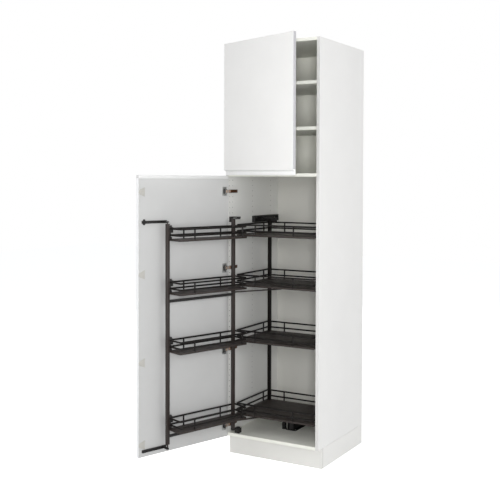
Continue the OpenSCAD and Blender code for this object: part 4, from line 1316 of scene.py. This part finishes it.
@dataclass
class Hinges:
    """The concealed hinges, with sizes for the plate, screws, arm, link, cup and bore cover."""

    foot: tuple[Pair, Pair] = ((6.0, -9.0), (59.0, 9.0))
    foot_out: float = 20.3
    ridge: tuple[Pair, Pair] = ((8.0, -6.5), (57.0, 6.5))
    ridge_in: float = 20.0
    screw_y: Pair = (14.0, 46.0)
    screw_in: float = 7.0
    screw_head: ScrewHead = ScrewHead(4.0, 2.2)
    seat_r: float = 4.1
    hole_r: float = 2.55
    arm_x: float = 22.5
    arm_out: float = 31.0
    half: float = 9.0
    fork: float = 1.7
    cheek_r: float = 3.5
    pin_r: float = 1.5
    slot: tuple[Pair, Pair] = ((36.0, -2.6), (52.0, 2.6))
    adjuster_y: Pair = (28.0, 60.0)
    adjuster: ScrewHead = ScrewHead(3.4, 1.2)
    link_half: float = 7.0
    link_reach: float = 33.0
    link_turn: float = 14.0
    link_bore_r: float = 1.55
    window_half: float = 3.6
    flange_off: float = 6.0
    flange_half: Pair = (15.5, 26.0)
    flange_t: float = 1.4
    mouth_r: float = 15.4
    cup_screw_z: Pair = (-21.0, 21.0)
    cup_screw: ScrewHead = ScrewHead(3.6, 1.0)
    cover_x: Pair = (569.0, 606.0)
    cover_half: float = 24.5
    cover_nose: float = 9.0
    cover_t: float = 2.2

    def build(self) -> None:
        """Makes one hinge and copies its parts to every height."""
        every = LOWER_HINGES + UPPER_HINGES
        for name, piece, finish, node in (
                ("hinge_mounting_plates", self.plate(), BLACK_POWDER, "hinge_plates"),
                ("hinge_arm_bodies", self.arm(), DARK_BRONZE, "hinge_arms"),
                ("hinge_plate_screws", self.screws(), SCREW_METAL, "hinge_screws")):
            Bench.settle(Bench.copies(name, piece, every), CABINET, finish, node)
        for side, door, links, heights in (("upper", UPPER_DOOR, UPPER_LINKS, UPPER_HINGES),
                                           ("lower", LOWER_DOOR, LOWER_LINKS, LOWER_HINGES)):
            for name, piece, mount, finish, node in (
                    ("link_plates", self.link(), links, PALE_BRONZE, "hinge_links"),
                    ("cup_shells", self.cup(), door, PLATED_STEEL, "hinge_cups"),
                    ("cup_knuckles", self.knuckle(), door, DARK_STEEL, "hinge_cups"),
                    ("cover_caps", self.cover(), door, BEIGE_MOULDED, "bore_covers")):
                Bench.settle(Bench.copies(f"{side}_{name}", piece, heights), mount, finish,
                             f"{side}_{node}")

    def plate(self) -> Solid:
        """Makes the plate on the side panel, a flat foot under a narrower ridge.

        Returns:
            The plate.
        """
        foot = Bench.profile("foot", rounded(*self.foot, 3.5), Axis.X, PANEL, self.foot_out)
        ridge = Bench.profile("ridge", rounded(*self.ridge, 2.0), Axis.X, self.ridge_in,
                              self.arm_x)
        for part in (foot, ridge):
            Bench.ease(part, 0.5)
        for y in self.screw_y:
            Bench.cut(ridge, Bench.rod("seat", (self.foot_out, y, 0), self.seat_r, 4, Axis.X))
            Bench.cut(foot, Bench.rod("hole", (PANEL - 1, y, 0), self.hole_r, 5, Axis.X))
        return Bench.join("plate", [foot, ridge])

    def arm(self) -> Solid:
        """Makes the arm with its fork, its pin and two adjusting screws.

        Returns:
            The arm.
        """
        x, out, half = self.arm_x, self.arm_out, self.half
        side = [(x, 10), (out - 1.5, 10), (out, 15), (out, 66), (out - 2.6, 83), (x + 1, 85),
                (x, 85)]
        body = Bench.ease(Bench.profile("body", side, Axis.Z, -half, half), 1.2, 3, 25)
        slot = Bench.profile("slot", rounded(*self.slot, 2.5), Axis.X, out - 1, out + 2)
        parts = [Bench.cut(body, slot)]
        px, py = HINGE_PIN
        cheek = [(x, 12), (x, py), *arc(HINGE_PIN, self.cheek_r, 180, 360, 12), (out - 1.5, 12)]
        for z in (-half, half - self.fork):
            parts.append(Bench.ease(Bench.profile("cheek", cheek, Axis.Z, z, z + self.fork), 0.3))
        parts.append(Bench.lathe("pin", pin_side(self.pin_r, 2 * half, 0.2, 0.2),
                                 (px, py, -half), Axis.Z, 20))
        for y in self.adjuster_y:
            parts.append(self.adjuster.make((out - 0.4, y, 0), Axis.X))
        return Bench.join("arm", parts)

    def screws(self) -> Solid:
        """Makes the two screws of a plate.

        Returns:
            Both screws as one object.
        """
        parts = []
        shank = [(0, 0), (1.6, 0), (2.4, 1.2), (2.4, 13.4), (0, 13.4)]
        for y in self.screw_y:
            parts.append(Bench.lathe("shank", shank, (self.screw_in, y, 0), Axis.X, 20))
            parts.append(self.screw_head.make((self.foot_out, y, 0), Axis.X))
        return Bench.join("screws", parts)

    def link(self) -> Solid:
        """Makes the link, a bar with two round eyes and a slot, turned on its pin.

        Returns:
            The link.
        """
        px, py = HINGE_PIN
        end = px + self.link_reach
        side = [*arc(HINGE_PIN, 3.2, 38, 322, 14), *arc((end, py), 2.4, -56, 56, 8)]
        bar = Bench.profile("link", side, Axis.Z, -self.link_half, self.link_half)
        Bench.cut(bar, Bench.rod("bore", (px, py, -9), self.link_bore_r, 18, Axis.Z, 24))
        outline = rounded((px + 9, -self.window_half), (end - 7, self.window_half), 2.0)
        Bench.cut(bar, Bench.profile("window", outline, Axis.Y, py - 5, py + 5))
        pin = Matrix.Translation(metres((px, py, 0)))
        turn = Matrix.Rotation(math.radians(self.link_turn), 4, "Z")
        return Bench.move(Bench.ease(bar, 0.35), pin @ turn @ pin.inverted())

    def cup(self) -> Solid:
        """Makes the cup with its flange and two screws.

        Returns:
            The cup.
        """
        shell = [(0, -14.5), (16.4, -14.5), (17.4, -13.5), (17.4, -3.0), (15.4, -3.0),
                 (15.4, -11.4), (14.3, -12.5), (0, -12.5)]
        parts = [Bench.lathe("shell", shell, (CUP_X, 0, 0), Axis.Y, BORE_SIDES)]
        x, (wide, high) = CUP_X + self.flange_off, self.flange_half
        plan = rounded((x - wide, -high), (x + wide, high), 2.5)
        flange = Bench.profile("flange", plan, Axis.Y, DOOR_IN, DOOR_IN + self.flange_t)
        Bench.cut(flange, Bench.rod("mouth", (CUP_X, DOOR_IN - 2, 0), self.mouth_r, 6, Axis.Y,
                                    BORE_SIDES))
        parts.append(Bench.ease(flange, 0.4))
        for z in self.cup_screw_z:
            parts.append(self.cup_screw.make((x, DOOR_IN + 1.0, z), Axis.Y))
        return Bench.join("cup", parts)

    def knuckle(self) -> Solid:
        """Makes the knuckle in the mouth of the cup, with a waist between two collars."""
        side = [(0, 0), (2.9, 0), (3.5, 0.6), (3.5, 6.5), (2.8, 7.2), (2.8, 23.8), (3.5, 24.5),
                (3.5, 30.4), (2.9, 31), (0, 31)]
        return Bench.lathe("knuckle", side, (CUP_X + 3, DOOR_IN - 4.5, -15.5), Axis.Z, 24)

    def cover(self) -> Solid:
        """Makes the cover, straight towards the door's middle and narrow at its free edge.

        Returns:
            The cover with its plug.
        """
        x0, x1 = self.cover_x
        half, nose = self.cover_half, self.cover_nose
        side = [(x0, -half), (x0 + 2, -half), (x1 - 3, -nose), (x1, 3 - nose), (x1, nose - 3),
                (x1 - 3, nose), (x0 + 2, half), (x0, half)]
        cap = Bench.profile("cap", side, Axis.Y, DOOR_IN, DOOR_IN + self.cover_t)
        Bench.ease(cap, 0.8, 3)
        plug = Bench.rod("plug", (CAB_W - CUP_X, DOOR_IN - 6, 0), BORE_R - 0.1, 6.4, Axis.Y,
                         BORE_SIDES)
        return Bench.join("cover", [cap, Bench.ease(plug, 0.5)])


@dataclass
class Guides:
    """The rails on the lower door, their sliders, and the fixed brackets and rails."""

    rail_x: Pair = (431.46, 587.5)
    rail_h: float = 15.0
    rail_d: float = 10.0
    wall: float = 1.8
    rail_z: Pair = (1384.0, 147.5)
    plate_at: float = 15.0
    plate_r: float = 8.0
    plate_screw_z: float = 11.25
    plate_screw: ScrewHead = ScrewHead(4.6, 3.0)
    slider_x: float = 454.86
    eye_y: float = 46.7133
    eye_r: Pair = (4.05, 8.0)
    stem_half: float = 6.0
    stem_bore_r: float = 4.6
    shoe_half: float = 12.0
    shoe_corner: float = 3.0
    play: float = 0.35

    def build(self) -> None:
        """Makes the rails and sliders and dresses the rest."""
        for name, z in zip(("upper", "lower"), self.rail_z):
            parts = [self.rail(z)]
            if name == "upper":
                parts += self.plate(z)
            rail = Bench.join(f"{name}_door_rail", parts)
            Bench.settle(rail, LOWER_DOOR, BLACK_POWDER, f"{name}_guide_rail")
            slider = Bench.join(f"{name}_rail_slider", self.slider(z))
            Bench.settle(slider, SLIDERS, BLACK_MOULDED, f"{name}_slider")
        Bench.dress(("upper_link", "lower_link"), DARK_POWDER, 0.5)
        Bench.dress(("slide_rail", "top_pivot_bracket", "bottom_pivot_bracket"), BLACK_POWDER,
                    0.5)
        Bench.dress(["floor_runner"], BLACK_MOULDED, 0.6)
        Bench.dress(["fitting_screws"], SCREW_METAL, 0.4)

    def rail(self, z: float) -> Solid:
        """Makes a rail with lips, open towards the baskets.

        Args:
            z: height of its middle.

        Returns:
            The rail.
        """
        y0, y1 = DOOR_IN, DOOR_IN + self.rail_d
        h, q, t = self.rail_h / 2, self.rail_h / 4, self.wall
        lower = [(y0, -h), (y1, -h), (y1, -q), (y1 - t, -q), (y1 - t, t - h), (y0 + t, t - h)]
        side = [(y, z + v) for y, v in lower] + [(y, z - v) for y, v in reversed(lower)]
        return Bench.ease(Bench.profile("rail", side, Axis.X, *self.rail_x), 0.45)

    def plate(self, z: float) -> list[Solid]:
        """Makes the fixing plate of the upper rail with its two screws.

        Args:
            z: height of the rail's middle.

        Returns:
            The plate and the screw heads.
        """
        x, r, out = self.rail_x[1] - self.plate_at, self.plate_r, DOOR_IN + self.wall
        outline = rounded((x - r, z - 2 * r), (x + r, z + 2 * r), r - 0.5)
        parts = [Bench.ease(Bench.profile("plate", outline, Axis.Y, DOOR_IN, out), 0.5)]
        for side in (-1, 1):
            place = (x, out - 0.3, z + side * self.plate_screw_z)
            parts.append(self.plate_screw.make(place, Axis.Y))
        return parts

    def slider(self, z: float) -> list[Solid]:
        """Makes a slider's shoe with round ends, its neck and its eye round the post's pin.

        Args:
            z: height of its middle.

        Returns:
            The three parts.
        """
        x, eye_y = self.slider_x, self.eye_y
        inner = self.rail_h / 2 - self.wall - self.play
        neck = self.rail_h / 4 - self.play
        y0 = DOOR_IN + self.wall + self.play
        y1 = DOOR_IN + self.rail_d - self.wall - self.play
        outline = rounded((x - self.shoe_half, z - inner), (x + self.shoe_half, z + inner),
                          self.shoe_corner)
        shoe = Bench.profile("shoe", outline, Axis.Y, y0, y1)
        w = self.stem_half
        side = [(x - w, y0 + 1), (x + w, y0 + 1), (x + w, eye_y - 4), (x - w, eye_y - 4)]
        stem = Bench.ease(Bench.profile("stem", side, Axis.Z, z - neck, z + neck), 0.8)
        hole, r = self.eye_r
        ring = [(hole, -neck), (r - 0.6, -neck), (r, 0.6 - neck)]
        eye = Bench.lathe("eye", ring + [(a, -b) for a, b in reversed(ring)], (x, eye_y, z),
                          Axis.Z, 36)
        Bench.cut(stem, Bench.rod("bore", (x, eye_y, z - 9), self.stem_bore_r, 18))
        return [Bench.ease(shoe, 0.5), stem, eye]


@dataclass(frozen=True)
class Lamp:
    """A soft lamp that faces the cabinet.

    Args:
        name: its name.
        place: its place in metres.
        size: its width and height in metres.
        power: its power in watts.
        aim: the point that it faces.
    """

    name: str
    place: Triple
    size: Pair
    power: float
    aim: Triple = (-0.1, 0.1, 1.15)

    def hang(self) -> None:
        """Adds the lamp to the scene."""
        data = bpy.data.lights.new(self.name, "AREA")
        data.shape = "RECTANGLE"
        data.size, data.size_y = self.size
        data.energy = self.power
        lamp = bpy.data.objects.new(self.name, data)
        bpy.context.scene.collection.objects.link(lamp)
        lamp.location = self.place
        way = Vector(self.aim) - Vector(self.place)
        lamp.rotation_euler = way.to_track_quat("-Z", "Y").to_euler()


@dataclass
class Studio:
    """The floor, the lights, the world and the camera.

    Args:
        eye: the camera's place in metres.
        yaw: degrees that it looks to the left of straight back.
        pitch: degrees that it looks down.
        roll: degrees that it leans.
        lens: focal length in millimetres.
        shift: sideways and upward shift of the picture.
        sky: colour of the even light.
        sky_light: strength of the even light.
        floor_size: width of the floor in metres.
        floor_drop: how far the floor lies under the feet, in metres.
        floor_grey: brightness of the floor.
        floor_rough: roughness of the floor.
        floor_glow: light that the floor adds where the camera sees it.
        lamps: the lamps.
    """

    eye: Triple = (2.4072, -4.2195, 1.622)
    yaw: float = 28.52
    pitch: float = 1.33
    roll: float = 0.22
    lens: float = 61.128
    shift: Pair = (-0.0872, -0.1036)
    sky: Triple = (0.97, 0.985, 1.0)
    sky_light: float = 0.49
    floor_size: float = 24.0
    floor_drop: float = 0.0005
    floor_grey: float = 0.86
    floor_rough: float = 0.9
    floor_glow: float = 0.58
    lamps: tuple[Lamp, ...] = (
        Lamp("front", (2.62, -4.5, 1.6), (0.7, 1.8), 132.0),
        Lamp("key", (-1.4, -4.4, 3.2), (2.6, 2.6), 24.0),
        Lamp("side", (4.4, -1.4, 2.2), (2.4, 2.4), 42.0),
        Lamp("rear", (-3.4, 4.0, 2.6), (3.0, 3.0), 80.0))

    def build(self) -> None:
        """Sets up the whole studio."""
        bpy.context.scene.view_settings.view_transform = "Standard"
        self.camera()
        self.world()
        self.floor()
        for lamp in self.lamps:
            lamp.hang()

    def camera(self) -> None:
        """Adds the camera at the photograph's viewing angle."""
        yaw, pitch = math.radians(self.yaw), math.radians(self.pitch)
        forward = Vector((-math.sin(yaw) * math.cos(pitch), math.cos(yaw) * math.cos(pitch),
                          -math.sin(pitch)))
        right = forward.cross(Vector((0, 0, 1))).normalized()
        up = right.cross(forward)
        lean = math.radians(self.roll)
        across = right * math.cos(lean) + up * math.sin(lean)
        upward = up * math.cos(lean) - right * math.sin(lean)
        data = bpy.data.cameras.new("camera")
        data.lens = self.lens
        data.shift_x, data.shift_y = self.shift
        eye = bpy.data.objects.new("camera", data)
        bpy.context.scene.collection.objects.link(eye)
        turn = Matrix((across, upward, -forward)).transposed().to_4x4()
        eye.matrix_world = Matrix.Translation(self.eye) @ turn
        bpy.context.scene.camera = eye

    def world(self) -> None:
        """Lights the scene evenly, and shows pure white behind and in reflections."""
        world = bpy.data.worlds.new("studio")
        bpy.context.scene.world = world
        tree = new_shading(world)
        tree.nodes.clear()
        light = add_node(tree, "Background",
                         {"Color": (*self.sky, 1.0), "Strength": self.sky_light})
        back = add_node(tree, "Background", {"Color": (1.0, 1.0, 1.0, 1.0)})
        path = add_node(tree, "LightPath", {}).outputs
        seen = path["Is Camera Ray"]
        for ray in ("Is Glossy Ray", "Is Transmission Ray"):
            seen = combine(tree, "MAXIMUM", seen, path[ray])
        mix = add_node(tree, "MixShader", {"Fac": seen, 1: light.outputs[0], 2: back.outputs[0]})
        add_node(tree, "OutputWorld", {"Surface": mix.outputs[0]})

    def floor(self) -> None:
        """Lays a pale floor that keeps the cabinet's shadow."""
        Bench.clear()
        bpy.ops.mesh.primitive_grid_add(x_subdivisions=4, y_subdivisions=4, size=self.floor_size,
                                        location=(0, 0, -self.floor_drop))
        floor = Bench.keep("studio_floor")
        mat = bpy.data.materials.new("studio_floor")
        tree = new_shading(mat)
        shader = fill(tree.nodes["Principled BSDF"], {
            "Base Color": (self.floor_grey, self.floor_grey, self.floor_grey, 1.0),
            "Roughness": self.floor_rough, "Specular IOR Level": 0.0})
        seen = add_node(tree, "LightPath", {}).outputs["Is Camera Ray"]
        glow = add_node(tree, "Emission", {
            "Strength": combine(tree, "MULTIPLY", seen, self.floor_glow)})
        add = add_node(tree, "AddShader", {0: shader.outputs[0], 1: glow.outputs[0]})
        fill(tree.nodes["Material Output"], {"Surface": add.outputs[0]})
        floor.data.materials.append(mat)


def main() -> None:
    """Builds the studio and every sub-assembly."""
    logging.basicConfig(level=logging.INFO, format="%(message)s")
    for part in (Studio(), Carcass(), Doors(), FrontFrame(), RearFrame(), Hinges(), Guides()):
        part.build()
        LOG.info("%s is built", type(part).__name__)


if __name__ == "__main__":
    main()
